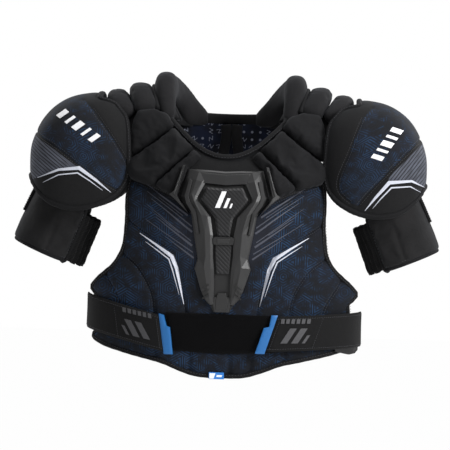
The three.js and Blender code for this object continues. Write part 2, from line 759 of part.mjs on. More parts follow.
// each range is [start, end]; cells are counted around and up the arm
function cuff({ degrees, heights, depths, cells }) {
  const [startAngle, endAngle] = degrees.map(radians);
  return outwardSolid(warpedBox(cells[0], 1, cells[1], (u, v, w) => cuffPoint(
    lerp(startAngle, endAngle, u),
    lerp(...heights, w),
    lerp(...depths, v),
  )));
}

addPair('bicep_pad', cuff({
  degrees: [-128, 128], heights: [0, ARM.length], depths: [0, 11], cells: [16, 2],
}), 'fabric');
addPair('bicep_insert', cuff({
  degrees: [-70, 70], heights: [10, ARM.length - 12], depths: [12, 14.2], cells: [8, 1],
}), 'shell');
addPair('bicep_elastic', cuff({
  degrees: [130, 230], heights: [4, ARM.length - 10], depths: [2, 5], cells: [6, 2],
}), 'webbing');

// hanger strap: from the rim of the cap down the outside of the cuff
const HANGER = { width: 26, thickness: 2.4, cuffDepth: -4.2 };
const HANGER_LINE = [
  new THREE.Vector3(-295, ARM.y, 272),
  cuffPoint(0, 74, HANGER.cuffDepth),
  cuffPoint(0, 50, HANGER.cuffDepth),
];
addPair('bicep_hanger', outwardSolid(warpedBox(2, 1, 1, (u, v, w) => {
  const point = HANGER_LINE[Math.round(u * 2)].clone();
  point.y += (w - 0.5) * HANGER.width;
  return point.addScaledVector(ARM_OUT, (v - 0.5) * HANGER.thickness);
})), 'webbing');

// -------------------------------------------------------- elastic side straps
// on the back panel, where the belly straps run from; they sink towards the back
const ELASTIC = {
  lineX: 205, // where the height is read off the belt's middle line
  startAngle: 0.035,
  sweep: 0.62,
  sink: 3,
  height: 42,
  offset: SHELL_T + 3.2,
  thickness: 2.2,
};
for (const [side, belt] of Object.entries(BELTS)) {
  const elastic = outwardSolid(warpedBox(4, 1, 1, (u, v, w) => {
    const angle = -(ELASTIC.startAngle + ELASTIC.sweep * u);
    const middle = beltHeight(belt, ELASTIC.lineX) - ELASTIC.sink * u;
    const z = middle + (w - 0.5) * ELASTIC.height;
    return aroundTorso(angle, z, ELASTIC.offset + ELASTIC.thickness * v, belt.sign);
  }));
  add(`belt_elastic_${side}`, elastic, 'webbing');
}

export default pads;
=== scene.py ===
"""Upper-body protector: chest and back panels, sternum guard, shoulder arches and caps,
biceps cuffs and belly straps.

The protector stands upright: z is up, its front faces -y and its own right side is at -x.
Pieces are drawn in mm, and make() turns them into metres. "side" is FRONT or BACK of the
torso; flat outlines on the torso are lists of (x, z).
"""

import math
from functools import cached_property

import bmesh
import bpy
import numpy as np
from mathutils import Matrix, Vector
from mathutils.geometry import delaunay_2d_cdt


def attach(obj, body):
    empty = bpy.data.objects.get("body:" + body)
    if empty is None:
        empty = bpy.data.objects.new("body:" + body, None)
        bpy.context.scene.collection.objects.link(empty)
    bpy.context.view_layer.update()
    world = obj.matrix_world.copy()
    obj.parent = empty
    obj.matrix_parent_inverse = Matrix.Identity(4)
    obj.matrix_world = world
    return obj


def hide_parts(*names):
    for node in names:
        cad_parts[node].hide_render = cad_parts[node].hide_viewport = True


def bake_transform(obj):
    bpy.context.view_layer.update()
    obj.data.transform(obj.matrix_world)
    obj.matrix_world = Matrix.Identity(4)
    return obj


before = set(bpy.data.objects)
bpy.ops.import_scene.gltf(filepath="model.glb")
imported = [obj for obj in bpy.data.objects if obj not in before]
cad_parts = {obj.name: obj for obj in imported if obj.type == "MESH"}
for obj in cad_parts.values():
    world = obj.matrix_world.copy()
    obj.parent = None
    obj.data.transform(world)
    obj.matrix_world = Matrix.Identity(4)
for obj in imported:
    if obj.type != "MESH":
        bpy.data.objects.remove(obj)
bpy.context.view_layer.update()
scene = bpy.context.scene

MM = 0.001
DEPTH_SHIFT = 11.385      # y of the drawing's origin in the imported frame
FRONT, BACK = -1, 1
SIDES = (("right", 1), ("left", -1))
ARCH_Z = 340              # height of the middle the shoulder arches bend round

# Torso form: rows of (z, size)
HALF_WIDTH = [
    [-20, 202], [30, 204], [60, 198], [88, 190], [108, 194], [126, 204], [140, 200],
    [152, 192], [175, 181], [200, 174], [260, 166], [330, 166], [385, 173], [440, 180]]
FRONT_DEPTH = [
    [-20, 108], [0, 112], [60, 124], [150, 130], [230, 128], [280, 116], [320, 100],
    [350, 86], [380, 67], [400, 52], [440, 30]]
BACK_DEPTH = [
    [-20, 92], [60, 100], [150, 108], [230, 110], [300, 104], [350, 92], [385, 78], [440, 60]]
TORSO_POWER = 2.4         # superellipse power of the torso's plan


def by_speed(full):
    return full


def smooth_table(table, z):
    table = np.array(table, float)
    z = np.asarray(z, float)
    total = 0
    for shift, weight in ((-12, 1), (-6, 2), (0, 3), (6, 2), (12, 1)):
        total = total + weight * np.interp(z + shift, table[:, 0], table[:, 1])
    return total / 9


def torso_depth(x, z, side):
    half = smooth_table(HALF_WIDTH, z)
    depth = smooth_table(FRONT_DEPTH if side < 0 else BACK_DEPTH, z)
    ratio = np.minimum(np.abs(x) / half, 0.988)
    return depth * (1 - ratio ** TORSO_POWER) ** (1 / TORSO_POWER)


def onto(points, off, side):
    """(x, z) points laid on the torso and moved out along its normal by off"""
    points = np.asarray(points, float).reshape(-1, 2)
    x, z = points[:, 0], points[:, 1]
    off = np.broadcast_to(np.asarray(off, float), x.shape)
    d = 0.5
    y = torso_depth(x, z, side)
    slope_x = (torso_depth(x + d, z, side) - torso_depth(x - d, z, side)) / (2 * d)
    slope_z = (torso_depth(x, z + d, side) - torso_depth(x, z - d, side)) / (2 * d)
    size = np.sqrt(slope_x * slope_x + 1 + slope_z * slope_z)
    return np.c_[x - slope_x / size * off, side * (y + off / size), z - slope_z / size * off]


# ------------------------------------------------------------------ flat outlines
def resample(points, step, closed=False):
    """points along a polyline, corners kept"""
    points = np.asarray(points, float)
    path = np.vstack([points, points[:1]]) if closed else points
    out = []
    for a, b in zip(path[:-1], path[1:]):
        count = max(1, int(round(np.linalg.norm(b - a) / step)))
        for k in range(count):
            out.append(a + (b - a) * k / count)
    if not closed:
        out.append(path[-1])
    return np.array(out)


def arc_lengths(path):
    return np.r_[0, np.cumsum(np.linalg.norm(np.diff(path, axis=0), axis=1))]


def curve(points, step, closed=False):
    """Catmull-Rom spline through the points, evenly sampled"""
    pts = np.asarray(points, float)
    count = len(pts)
    out = []
    for i in range(count if closed else count - 1):
        prev = pts[(i - 1) % count] if closed or i > 0 else 2 * pts[0] - pts[1]
        here, there = pts[i % count], pts[(i + 1) % count]
        after = pts[(i + 2) % count] if closed or i + 2 < count else 2 * pts[-1] - pts[-2]
        for k in range(12):
            t = k / 12
            out.append(0.5 * ((2 * here) + (-prev + there) * t
                              + (2 * prev - 5 * here + 4 * there - after) * t * t
                              + (-prev + 3 * here - 3 * there + after) * t ** 3))
    if not closed:
        out.append(pts[-1])
    out = np.array(out)
    path = np.vstack([out, out[:1]]) if closed else out
    along = arc_lengths(path)
    parts = max(3, int(round(along[-1] / step)))
    places = np.linspace(0, along[-1], parts + 1)
    if closed:
        places = places[:-1]
    return np.stack([np.interp(places, along, path[:, k]) for k in range(path.shape[1])], 1)


def inside(points, poly):
    points = np.asarray(points, float)
    poly = np.asarray(poly, float)
    hit = np.zeros(len(points), bool)
    j = len(poly) - 1
    for i in range(len(poly)):
        x, z = poly[i]
        last_x, last_z = poly[j]
        cross_x = (last_x - x) * (points[:, 1] - z) / (last_z - z + 1e-12) + x
        hit ^= ((z > points[:, 1]) != (last_z > points[:, 1])) & (points[:, 0] < cross_x)
        j = i
    return hit


def dist(points, poly, closed=False):
    """distance from each point to a polyline"""
    points = np.asarray(points, float)
    poly = np.asarray(poly, float)
    path = np.vstack([poly, poly[:1]]) if closed else poly
    best = np.full(len(points), 1e9)
    for a, b in zip(path[:-1], path[1:]):
        d = b - a
        t = np.clip(((points - a) @ d) / max(1e-9, d @ d), 0, 1)
        away = points - (a + t[:, None] * d)
        best = np.minimum(best, np.sqrt((away * away).sum(1)))
    return best


def nearest(points, lines):
    best = np.full(len(points), 1e9)
    for line in lines:
        best = np.minimum(best, dist(points, line))
    return best


def signed_dist(points, poly):
    """distance to an outline, positive inside"""
    away = dist(points, poly, True)
    return np.where(inside(points, poly), away, -away)


def inset(points, d):
    """outline moved inward by d, or outward where d is negative"""
    here = np.asarray(points, float)
    before, after = np.roll(here, 1, 0), np.roll(here, -1, 0)
    turn = np.sign(np.sum(here[:, 0] * after[:, 1] - after[:, 0] * here[:, 1]))
    dir_in, dir_out = here - before, after - here
    dir_in /= np.linalg.norm(dir_in, axis=1)[:, None] + 1e-12
    dir_out /= np.linalg.norm(dir_out, axis=1)[:, None] + 1e-12
    normal_in = np.c_[-dir_in[:, 1], dir_in[:, 0]] * turn
    normal_out = np.c_[-dir_out[:, 1], dir_out[:, 0]] * turn
    mid = normal_in + normal_out
    reach = d / np.maximum(0.35, (mid * normal_in).sum(1))
    if d > 0:
        reach = np.minimum(reach, 2.2 * abs(d))
    return here + mid * reach[:, None]


def parallel(line, d):
    """line moved sideways by d"""
    t = np.gradient(line, axis=0)
    t /= np.linalg.norm(t, axis=1)[:, None] + 1e-9
    return line + np.c_[-t[:, 1], t[:, 0]] * d


def mirror_x(points):
    points = np.asarray(points, float).copy()
    points[..., 0] *= -1
    return points


def close_sym(half):
    """whole outline from a half that starts and ends on the middle line"""
    half = np.asarray(half, float)
    return np.vstack([half, mirror_x(half[1:-1])[::-1]])


def ribbon(points, widths):
    """outline of a tapering line"""
    pts = np.asarray(points, float)
    half = np.asarray(widths, float) / 2
    t = np.diff(pts, axis=0)
    t /= np.linalg.norm(t, axis=1)[:, None]
    normals = []
    for i in range(len(pts)):
        a = t[max(0, i - 1)]
        b = t[min(len(t) - 1, i)]
        mitre = np.array([-(a + b)[1], (a + b)[0]])
        mitre /= np.linalg.norm(mitre)
        mitre /= max(0.5, abs(mitre @ np.array([-a[1], a[0]])))
        normals.append(mitre)
    normals = np.array(normals)
    return np.vstack([pts + normals * half[:, None], (pts - normals * half[:, None])[::-1]])


def triangulate(outline, step, lines=(), grid=True):
    """points and counter-clockwise triangles over an outline; lines become edges"""
    border = resample(outline, step, True)
    verts = [tuple(p) for p in border]
    edges = [(i, (i + 1) % len(border)) for i in range(len(border))]
    for line in lines:
        path = resample(line, step)
        base = len(verts)
        verts += [tuple(p) for p in path]
        edges += [(base + i, base + i + 1) for i in range(len(path) - 1)]
    if grid:
        low, high = border.min(0), border.max(0)
        rows = []
        for row, z in enumerate(np.arange(low[1] + step * 0.5, high[1], step * 0.866)):
            x = np.arange(low[0] + (row % 2) * step / 2, high[0], step)
            rows.append(np.c_[x, np.full(len(x), z)])
        fill = np.vstack(rows)
        keep = inside(fill, border) & (dist(fill, border, True) > 0.55 * step)
        for line in lines:
            keep &= dist(fill, line) > 0.5 * step
        verts += [tuple(p) for p in fill[keep]]
    result = delaunay_2d_cdt([Vector(v) for v in verts], edges, [], 0, 1e-4)
    points = np.array([tuple(v) for v in result[0]])
    tris = np.array([f for f in result[2] if len(f) == 3], int)
    tris = tris[inside(points[tris].mean(1), border)]
    a, b, c = points[tris[:, 0]], points[tris[:, 1]], points[tris[:, 2]]
    area = ((b[:, 0] - a[:, 0]) * (c[:, 1] - a[:, 1])
            - (b[:, 1] - a[:, 1]) * (c[:, 0] - a[:, 0]))
    solid = np.abs(area) > 1e-5
    tris, area = tris[solid], area[solid]
    tris[area < 0] = tris[area < 0][:, ::-1]
    used = np.unique(tris)
    index = np.full(len(points), -1)
    index[used] = np.arange(len(used))
    return points[used], index[tris]


def rim_edges(tris):
    edges = dict.fromkeys((f[k], f[(k + 1) % 3]) for f in tris.tolist() for k in range(3))
    return [(a, b) for a, b in edges if (b, a) not in edges]


def rim_mask(tris, count):
    mask = np.zeros(count, bool)
    mask[list({i for edge in rim_edges(tris) for i in edge})] = True
    return mask


# ------------------------------------------------------------------ meshes
def make(name, verts, faces, mat, smooth=True):
    """object from points in mm"""
    mesh = bpy.data.meshes.new(name)
    verts = np.asarray(verts, float).copy()
    verts[:, 1] += DEPTH_SHIFT
    verts *= MM
    mesh.from_pydata(verts.tolist(), [], [tuple(int(i) for i in f) for f in faces])
    mesh.update()
    ob = bpy.data.objects.new(name, mesh)
    scene.collection.objects.link(ob)
    mesh.materials.append(mat)
    mesh.polygons.foreach_set("use_smooth", np.full(len(mesh.polygons), smooth))
    return ob


def fix_out(ob):
    """turn all faces outward"""
    bm = bmesh.new()
    bm.from_mesh(ob.data)
    bmesh.ops.recalc_face_normals(bm, faces=bm.faces)
    if bm.calc_volume(signed=True) < 0:
        bmesh.ops.reverse_faces(bm, faces=bm.faces)
    bm.to_mesh(ob.data)
    bm.free()
    ob.data.update()
    return ob


def set_field(ob, name, values):
    """number on each point of a slab, the same on its top and bottom"""
    layer = ob.data.attributes.new(name, "FLOAT", "POINT")
    layer.data.foreach_set("value", np.tile(values, 2).astype(np.float32))


def set_pattern_place(ob, places):
    """flat place of each point of a slab, for printed patterns"""
    layer = ob.data.attributes.new("pat", "FLOAT_VECTOR", "POINT")
    vectors = np.zeros((2 * len(places), 3))
    vectors[:, :2] = np.tile(places, (2, 1))
    layer.data.foreach_set("vector", vectors.astype(np.float32).ravel())


def read_mm(mesh):
    flat = np.zeros(len(mesh.vertices) * 3)
    mesh.vertices.foreach_get("co", flat)
    points = flat.reshape(-1, 3) * 1000
    points[:, 1] -= DEPTH_SHIFT
    return points


def slab(name, tris, top, bottom, mat, smooth=True, flip=False):
    """closed solid from one triangulation laid on two surfaces"""
    n = len(top)
    faces = [tuple(f) for f in tris] + [tuple(f[::-1] + n) for f in tris]
    faces += [(b, a, a + n, b + n) for a, b in rim_edges(tris)]
    if flip:
        faces = [f[::-1] for f in faces]
    return make(name, np.vstack([top, bottom]), faces, mat, smooth)


def value_at(points, value):
    return value(points) if callable(value) else np.full(len(points), float(value))


def torso_slab(name, outline, step, side, top, bottom, mat, lines=(), grid=True, smooth=True):
    """slab on the torso; top and bottom are heights or functions of the (x, z) points"""
    points, tris = triangulate(outline, step, lines, grid)
    ob = slab(name, tris, onto(points, value_at(points, top), side),
              onto(points, value_at(points, bottom), side), mat, smooth, flip=side > 0)
    return ob, points, tris


def stack3(x, y, z):
    return np.stack(np.broadcast_arrays(x, y, z), -1)


def grid_rim(rows, cols):
    """1 on the border of a grid, 0 inside"""
    mask = np.ones((rows, cols))
    mask[1:-1, 1:-1] = 0
    return mask


def sheet(name, layers, mat):
    """closed sheet between two grids of points, shaped (2, rows, cols, 3)"""
    layers = np.asarray(layers, float)
    rows, cols = layers.shape[1:3]
    n = rows * cols
    faces = []
    for j in range(rows - 1):
        for i in range(cols - 1):
            a = j * cols + i
            b, c, d = a + 1, a + cols + 1, a + cols
            faces += [(a, b, c, d), (a + n, d + n, c + n, b + n)]
    border = list(range(cols)) + [j * cols + cols - 1 for j in range(1, rows)]
    border += [(rows - 1) * cols + i for i in range(cols - 2, -1, -1)]
    border += [j * cols for j in range(rows - 2, 0, -1)]
    faces += [(b, a, a + n, b + n) for a, b in zip(border, border[1:] + border[:1])]
    return fix_out(make(name, layers.reshape(-1, 3), faces, mat))


def tube_faces(rings, sides, closed=False, base=0):
    faces = []
    for i in range(rings if closed else rings - 1):
        a, b = base + i * sides, base + ((i + 1) % rings) * sides
        for j in range(sides):
            k = (j + 1) % sides
            faces.append((a + j, a + k, b + k, b + j))
    if not closed:
        faces.append(tuple(base + j for j in range(sides))[::-1])
        faces.append(tuple(base + (rings - 1) * sides + j for j in range(sides)))
    return faces


def ellipse(half_side, half_up, count, power):
    """superellipse section of (side, up) points"""
    t = np.linspace(0, 2 * np.pi, count, endpoint=False)
    return np.c_[half_side * np.sign(np.cos(t)) * np.abs(np.cos(t)) ** (2 / power),
                 half_up * np.sign(np.sin(t)) * np.abs(np.sin(t)) ** (2 / power)]


def frames_along(path, up):
    """side and up directions along a path"""
    t = np.gradient(path, axis=0)
    t /= np.linalg.norm(t, axis=1)[:, None] + 1e-12
    ups = up - (up * t).sum(1)[:, None] * t
    ups /= np.linalg.norm(ups, axis=1)[:, None] + 1e-12
    return np.cross(t, ups), ups


def sweep(name, path, up, section, mat, closed=False, scale=1.0):
    """section carried along a path; open ends are capped"""
    path = np.asarray(path, float)
    if closed:
        sides, ups = frames_along(np.vstack([path[-2:], path, path[:2]]),
                                  np.vstack([up[-2:], up, up[:2]]))
        sides, ups = sides[2:-2], ups[2:-2]
    else:
        sides, ups = frames_along(path, np.asarray(up, float))
    scale = np.broadcast_to(scale, len(path))[:, None, None]
    verts = (path[:, None, :] + sides[:, None, :] * section[None, :, 0:1] * scale
             + ups[:, None, :] * section[None, :, 1:2] * scale).reshape(-1, 3)
    faces = tube_faces(len(path), len(section), closed)
    return fix_out(make(name, verts, faces, mat))


def stitches(path, normals, length, pitch, radius):
    """sewn thread: short rounded lengths laid along a path on a surface"""
    along = arc_lengths(path)

    def sample(values, place):
        return np.array([np.interp(place, along, values[:, k]) for k in range(3)])

    verts, faces = [], []
    for i in range(int(along[-1] / pitch)):
        mid = (i + 0.5) * pitch
        a, b = sample(path, mid - length / 2), sample(path, mid + length / 2)
        normal = sample(normals, mid)
        normal /= np.linalg.norm(normal) + 1e-9
        t = b - a
        size = np.linalg.norm(t)
        t /= size
        across = np.cross(t, normal)
        faces += tube_faces(4, 5, base=len(verts))
        for place, fat in ((-0.5, 0.25), (-0.32, 1.0), (0.32, 1.0), (0.5, 0.25)):
            rise = radius * 0.4 if fat == 1.0 else -0.1
            centre = (a + b) / 2 + t * place * size + normal * rise
            for k in range(5):
                angle = k / 5 * 2 * math.pi
                verts.append(centre + across * math.cos(angle) * radius * fat
                             + normal * math.sin(angle) * radius * fat * 0.8)
    return fix_out(make("stitches", np.array(verts), faces, THREAD))


def flip_x(mesh):
    flat = np.zeros(len(mesh.vertices) * 3)
    mesh.vertices.foreach_get("co", flat)
    flat[::3] *= -1
    mesh.vertices.foreach_set("co", flat)
    mesh.flip_normals()
    mesh.update()


def mirror_copy(ob, name):
    mesh = ob.data.copy()
    mesh.name = name
    flip_x(mesh)
    copy = bpy.data.objects.new(name, mesh)
    scene.collection.objects.link(copy)
    return copy


def join(name, obs):
    """one object out of several, materials kept"""
    bm = bmesh.new()
    mats = []
    mesh = bpy.data.meshes.new(name)
    for ob in obs:
        slots = []
        for mat in ob.data.materials:
            if mat not in mats:
                mats.append(mat)
            slots.append(mats.index(mat))
        start = len(bm.faces)
        bm.from_mesh(ob.data)
        bm.faces.ensure_lookup_table()
        for face in bm.faces[start:]:
            face.material_index = slots[face.material_index]
    bm.to_mesh(mesh)
    bm.free()
    for mat in mats:
        mesh.materials.append(mat)
    joined = bpy.data.objects.new(name, mesh)
    scene.collection.objects.link(joined)
    for ob in obs:
        old = ob.data
        bpy.data.objects.remove(ob)
        bpy.data.meshes.remove(old)
    joined.name = name
    mesh.name = name
    return joined


def apply_mods(ob):
    graph = bpy.context.evaluated_depsgraph_get()
    graph.update()
    mesh = bpy.data.meshes.new_from_object(ob.evaluated_get(graph),
                                           preserve_all_data_layers=True, depsgraph=graph)
    old = ob.data
    ob.modifiers.clear()
    ob.data = mesh
    mesh.name = ob.name
    bpy.data.meshes.remove(old)
    return ob


def subsurf(ob):
    mod = ob.modifiers.new("subsurf", "SUBSURF")
    mod.levels = mod.render_levels = 1
    return apply_mods(ob)


def bevel(ob, width, angle, segments=2):
    mod = ob.modifiers.new("bevel", "BEVEL")
    mod.width = width * MM
    mod.segments = segments
    mod.limit_method = "ANGLE"
    mod.angle_limit = math.radians(angle)
    return apply_mods(ob)


def pin_weights(held):
    """pins for a slab: the marked top points nearly fixed, the underside fixed"""
    return np.r_[np.where(held, 0.9, 0.0), np.ones(len(held))]


def puff(ob, pressure, frames, max_move, shrink, bend, voxel=None, pins=None):
    """inflate a cushion with a cloth simulation and keep the result"""
    if voxel:
        mod = ob.modifiers.new("remesh", "REMESH")
        mod.mode = "VOXEL"
        mod.voxel_size = voxel * MM
        apply_mods(ob)
    mod = ob.modifiers.new("smooth", "SMOOTH")
    mod.factor = 0.5
    mod.iterations = 2
    apply_mods(ob)
    ob.data.polygons.foreach_set("use_smooth", np.full(len(ob.data.polygons), True))
    start = read_mm(ob.data)
    cloth = ob.modifiers.new("cloth", "CLOTH")
    settings = cloth.settings
    settings.quality = 4
    settings.mass = 0.2
    settings.tension_stiffness = 12
    settings.compression_stiffness = 12
    settings.shear_stiffness = 6
    settings.bending_stiffness = bend
    settings.air_damping = 2
    settings.use_pressure = True
    settings.uniform_pressure_force = pressure
    settings.shrink_min = shrink
    settings.effector_weights.gravity = 0
    cloth.collision_settings.use_collision = False
    cloth.collision_settings.use_self_collision = False
    if pins is not None:
        group = ob.vertex_groups.new(name="pin")
        for i in np.nonzero(pins > 0)[0]:
            group.add([int(i)], float(pins[i]), "REPLACE")
        settings.vertex_group_mass = "pin"
        settings.pin_stiffness = 1.0
    cloth.point_cache.frame_start = 1
    cloth.point_cache.frame_end = frames
    for number in range(1, frames + 1):
        scene.frame_set(number)
    puffed = ob.evaluated_get(bpy.context.evaluated_depsgraph_get())
    moved = read_mm(puffed.to_mesh())
    puffed.to_mesh_clear()
    ob.modifiers.clear()
    ob.vertex_groups.clear()
    scene.frame_set(1)
    move = moved - start
    move *= np.minimum(1, max_move / np.maximum(np.linalg.norm(move, axis=1), 1e-9))[:, None]
    # a simulation that blew up leaves the cushion as it was
    if not np.isfinite(move).all():
        move[:] = 0
    points = start + move
    points[:, 1] += DEPTH_SHIFT
    ob.data.vertices.foreach_set("co", (points * MM).ravel())
    ob.data.update()
    return subsurf(ob)


def mount(ob, body, slot, *nodes):
    """parent a piece to the empty of the body that carries it and hide the CAD parts it
    replaces; slot is not used
    """
    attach(ob, body)
    if nodes:
        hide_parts(*nodes)


def mount_pair(right, body, slot, *nodes):
    """mount a right-hand piece and its mirrored left copy"""
    left = mirror_copy(right, right.name.removesuffix("_right") + "_left")
    for ob, side in ((right, "right"), (left, "left")):
        carrier = body if body in ("chest", "back") else body + "_" + side
        mount(ob, carrier, slot, *[node + "_" + side for node in nodes])


# ------------------------------------------------------------------ shader writing
class Field:
    """shader socket; each arithmetic step on it adds a Math node"""

    def __init__(self, shader, socket):
        self.shader = shader
        self.socket = socket

    def __add__(self, other):
        return self.shader.math("ADD", self, other)

    def __sub__(self, other):
        return self.shader.math("SUBTRACT", self, other)

    def __mul__(self, other):
        return self.shader.math("MULTIPLY", self, other)

    def __truediv__(self, other):
        return self.shader.math("DIVIDE", self, other)

    def __gt__(self, other):
        return self.shader.math("GREATER_THAN", self, other)

    def __lt__(self, other):
        return self.shader.math("LESS_THAN", self, other)

    def __abs__(self):
        return self.shader.math("ABSOLUTE", self)


class Shader:
    """material whose node tree is written as expressions"""

    def __init__(self, name):
        self.mat = bpy.data.materials.new(name)
        self.mat.use_nodes = True
        self.tree = self.mat.node_tree
        self.tree.nodes.clear()
        self.output = self.tree.nodes.new("ShaderNodeOutputMaterial")
        self.surface = self.tree.nodes.new("ShaderNodeBsdfPrincipled")
        self.tree.links.new(self.surface.outputs[0], self.output.inputs[0])

    def put(self, socket, value):
        if isinstance(value, Field):
            self.tree.links.new(value.socket, socket)
        elif isinstance(value, tuple) and len(socket.default_value) == 4:
            socket.default_value = (*value, 1)
        else:
            socket.default_value = value

    def node(self, kind, inputs, output=0, **settings):
        node = self.tree.nodes.new("ShaderNode" + kind)
        for key, value in settings.items():
            setattr(node, key, value)
        for key, value in inputs.items():
            self.put(node.inputs[key], value)
        return Field(self, node.outputs[output])

    def math(self, operation, *values):
        return self.node("Math", dict(enumerate(values)), operation=operation)

    def split(self, vector):
        first = self.node("SeparateXYZ", {0: vector})
        return [Field(self, socket) for socket in first.socket.node.outputs]

    def vector(self, x, y, z):
        return self.node("CombineXYZ", {0: x, 1: y, 2: z})

    def shifted(self, vector, shift):
        return self.node("VectorMath", {0: vector, 1: shift}, operation="ADD")

    @cached_property
    def place(self):
        """object coordinates in mm"""
        coords = self.node("TexCoord", {}, "Object")
        return self.node("VectorMath", {0: coords, "Scale": 1000.0}, operation="SCALE")

    def attribute(self, name, output="Fac"):
        return self.node("Attribute", {}, output,
                         attribute_type="GEOMETRY", attribute_name=name)

    def noise(self, scale, detail=2.0, rough=0.5, distort=0.0, at=None):
        inputs = {"Vector": at or self.place, "Scale": scale, "Detail": detail,
                  "Roughness": rough, "Distortion": distort}
        return self.node("TexNoise", inputs, "Fac")

    def white(self, vector):
        return self.node("TexWhiteNoise", {"Vector": vector}, "Value", noise_dimensions="3D")

    def step(self, value, low, high, start=0.0, end=1.0):
        """smooth step from start to end as value goes from low to high"""
        return self.node("MapRange", {0: value, 1: low, 2: high, 3: start, 4: end},
                         interpolation_type="SMOOTHSTEP")

    def mix(self, factor, a, b):
        return self.node("Mix", {0: factor, 6: a, 7: b}, 2, data_type="RGBA")

    def mix_value(self, factor, a, b):
        return self.node("Mix", {0: factor, 2: a, 3: b}, data_type="FLOAT")

    def bump(self, height, strength, distance, normal=None):
        """distance in mm"""
        inputs = {"Strength": strength, "Distance": distance * MM, "Height": height}
        if normal is not None:
            inputs["Normal"] = normal
        return self.node("Bump", inputs)

    def finish(self, color, rough, spec, normal=None, sheen=None, tint=None):
        inputs = self.surface.inputs
        self.put(inputs["Base Color"], color)
        self.put(inputs["Roughness"], rough)
        if normal is not None:
            self.put(inputs["Normal"], normal)
        self.put(inputs["Specular IOR Level"], spec)
        if sheen is not None:
            self.put(inputs["Sheen Weight"], sheen)
            self.put(inputs["Sheen Roughness"], 0.5)
            if tint is not None:
                self.put(inputs["Sheen Tint"], tint)
        viewport = color if isinstance(color, tuple) else (0.05, 0.05, 0.06)
        self.mat.diffuse_color = (*viewport, 1)
        return self.mat


def srgb(*levels):
    """linear colour from three 0-255 levels"""
    return tuple(c / 255 / 12.92 if c / 255 <= 0.04045 else ((c / 255 + 0.055) / 1.055) ** 2.4
                 for c in levels)


# ------------------------------------------------------------------ materials
CLOTH_DIM = 0.5           # the plain cloth colours are darkened by this


def knit(sh, pitch):
    """height of a fine knitted cloth"""
    x, y, z = sh.split(sh.place)
    turns = 2 * math.pi / pitch / 1.4
    rise = sh.math("SINE", (x + z) * turns)
    fall = sh.math("SINE", (x - z + y * 0.9) * turns)
    return (rise + fall) * 0.25 + sh.noise(scale=0.9)


def cloth_normal(sh, pitch, weave, wrinkle, wrinkle_scale=0.06, wrinkle_height=2.0):
    """knit bump with soft wrinkles over it"""
    normal = sh.bump(knit(sh, pitch), strength=weave, distance=0.28)
    folds = sh.noise(scale=wrinkle_scale, detail=3, distort=0.4)
    return sh.bump(folds, strength=wrinkle, distance=wrinkle_height, normal=normal)


def cloth(name, dark, light, rough=0.86, sheen=0.03, wrinkle=0.35, pitch=1.3):
    sh = Shader(name)
    dark, light = [tuple(c * CLOTH_DIM for c in srgb(*rgb)) for rgb in (dark, light)]
    big = sh.noise(scale=0.022, detail=3, rough=0.55)
    fine = sh.noise(scale=0.55, detail=3, rough=0.6)
    blend = sh.step(big, 0.35, 0.68) * 0.55 + sh.step(fine, 0.3, 0.8) * 0.45
    return sh.finish(
        color=sh.mix(blend, dark, light),
        rough=sh.mix_value(fine, rough - 0.06, rough + 0.06),
        normal=cloth_normal(sh, pitch, weave=0.28, wrinkle=wrinkle, wrinkle_height=2.2),
        spec=0.16, sheen=sheen, tint=(0.75, 0.8, 0.9))


def hex_maze(sh, across, up, cell=25.0, pitch=3.35):
    """lines inside hexagons, concentric in some cells and folded in others"""
    size = (cell, cell * math.sqrt(3))

    def wrapped(value, shift, span):
        return sh.math("WRAP", value + shift, span, 0.0) - span / 2

    def length2(pair):
        return pair[0] * pair[0] + pair[1] * pair[1]

    grid_a = [wrapped(v, 0.0, s) for v, s in zip((across, up), size)]
    grid_b = [wrapped(v, s / 2, s) for v, s in zip((across, up), size)]
    closer = length2(grid_a) < length2(grid_b)
    x, y = [sh.mix_value(closer, b, a) for a, b in zip(grid_a, grid_b)]
    cell_id = sh.vector(sh.math("ROUND", (across - x) / (size[0] / 2)),
                        sh.math("ROUND", (up - y) / (size[1] / 2)), 3.0)
    chance = sh.white(cell_id)
    axes = []
    for k in range(3):
        angle = math.radians(k * 60)
        axes.append(x * math.cos(angle) + y * math.sin(angle))

    def highest(a, b, c):
        return sh.math("MAXIMUM", a, sh.math("MAXIMUM", b, c))

    rings = highest(abs(axes[0]), abs(axes[1]), abs(axes[2]))
    fold_a = highest(axes[0], axes[1] * -1.0, axes[2] * 1.0)
    fold_b = highest(axes[0] * -1.0, axes[1], axes[2] * -1.0)
    folds = sh.mix_value(chance > 0.72, fold_a, fold_b)
    value = sh.mix_value(chance > 0.42, rings, folds)
    line = abs(sh.math("FRACT", (value + 0.9) / pitch) - 0.5)
    return sh.step(line, 0.16, 0.27, start=1.0, end=0.0), chance


def navy_color(sh, across, up):
    line, chance = hex_maze(sh, across, up)
    flat = sh.vector(across, up, 7.0)
    patch = sh.noise(scale=0.017, rough=0.6, at=flat)
    small = sh.noise(scale=0.11, rough=0.6, at=flat)
    fade = sh.step(patch * 0.55 + small * 0.45, 0.42, 0.62)
    fade = fade * sh.mix_value(chance, 0.55, 1.0)
    blotch = sh.step(sh.noise(scale=0.035, detail=3, rough=0.6, at=flat), 0.42, 0.62)
    base = sh.mix(blotch, srgb(10, 12, 16), srgb(13, 16, 24))
    heather = sh.step(sh.noise(scale=1.1, rough=0.7), 0.4, 0.75)
    base = sh.mix(heather * 0.3, base, srgb(32, 37, 50))
    dark = sh.mix(line * 0.5, base, srgb(7, 8, 12))
    return sh.mix(line * fade * 0.92, dark, srgb(27, 54, 84))


def speckle(sh, scale, dark, light):
    """two close colours mixed by a fine noise"""
    return sh.mix(sh.step(sh.noise(scale=scale, detail=3), 0.3, 0.8), srgb(*dark), srgb(*light))


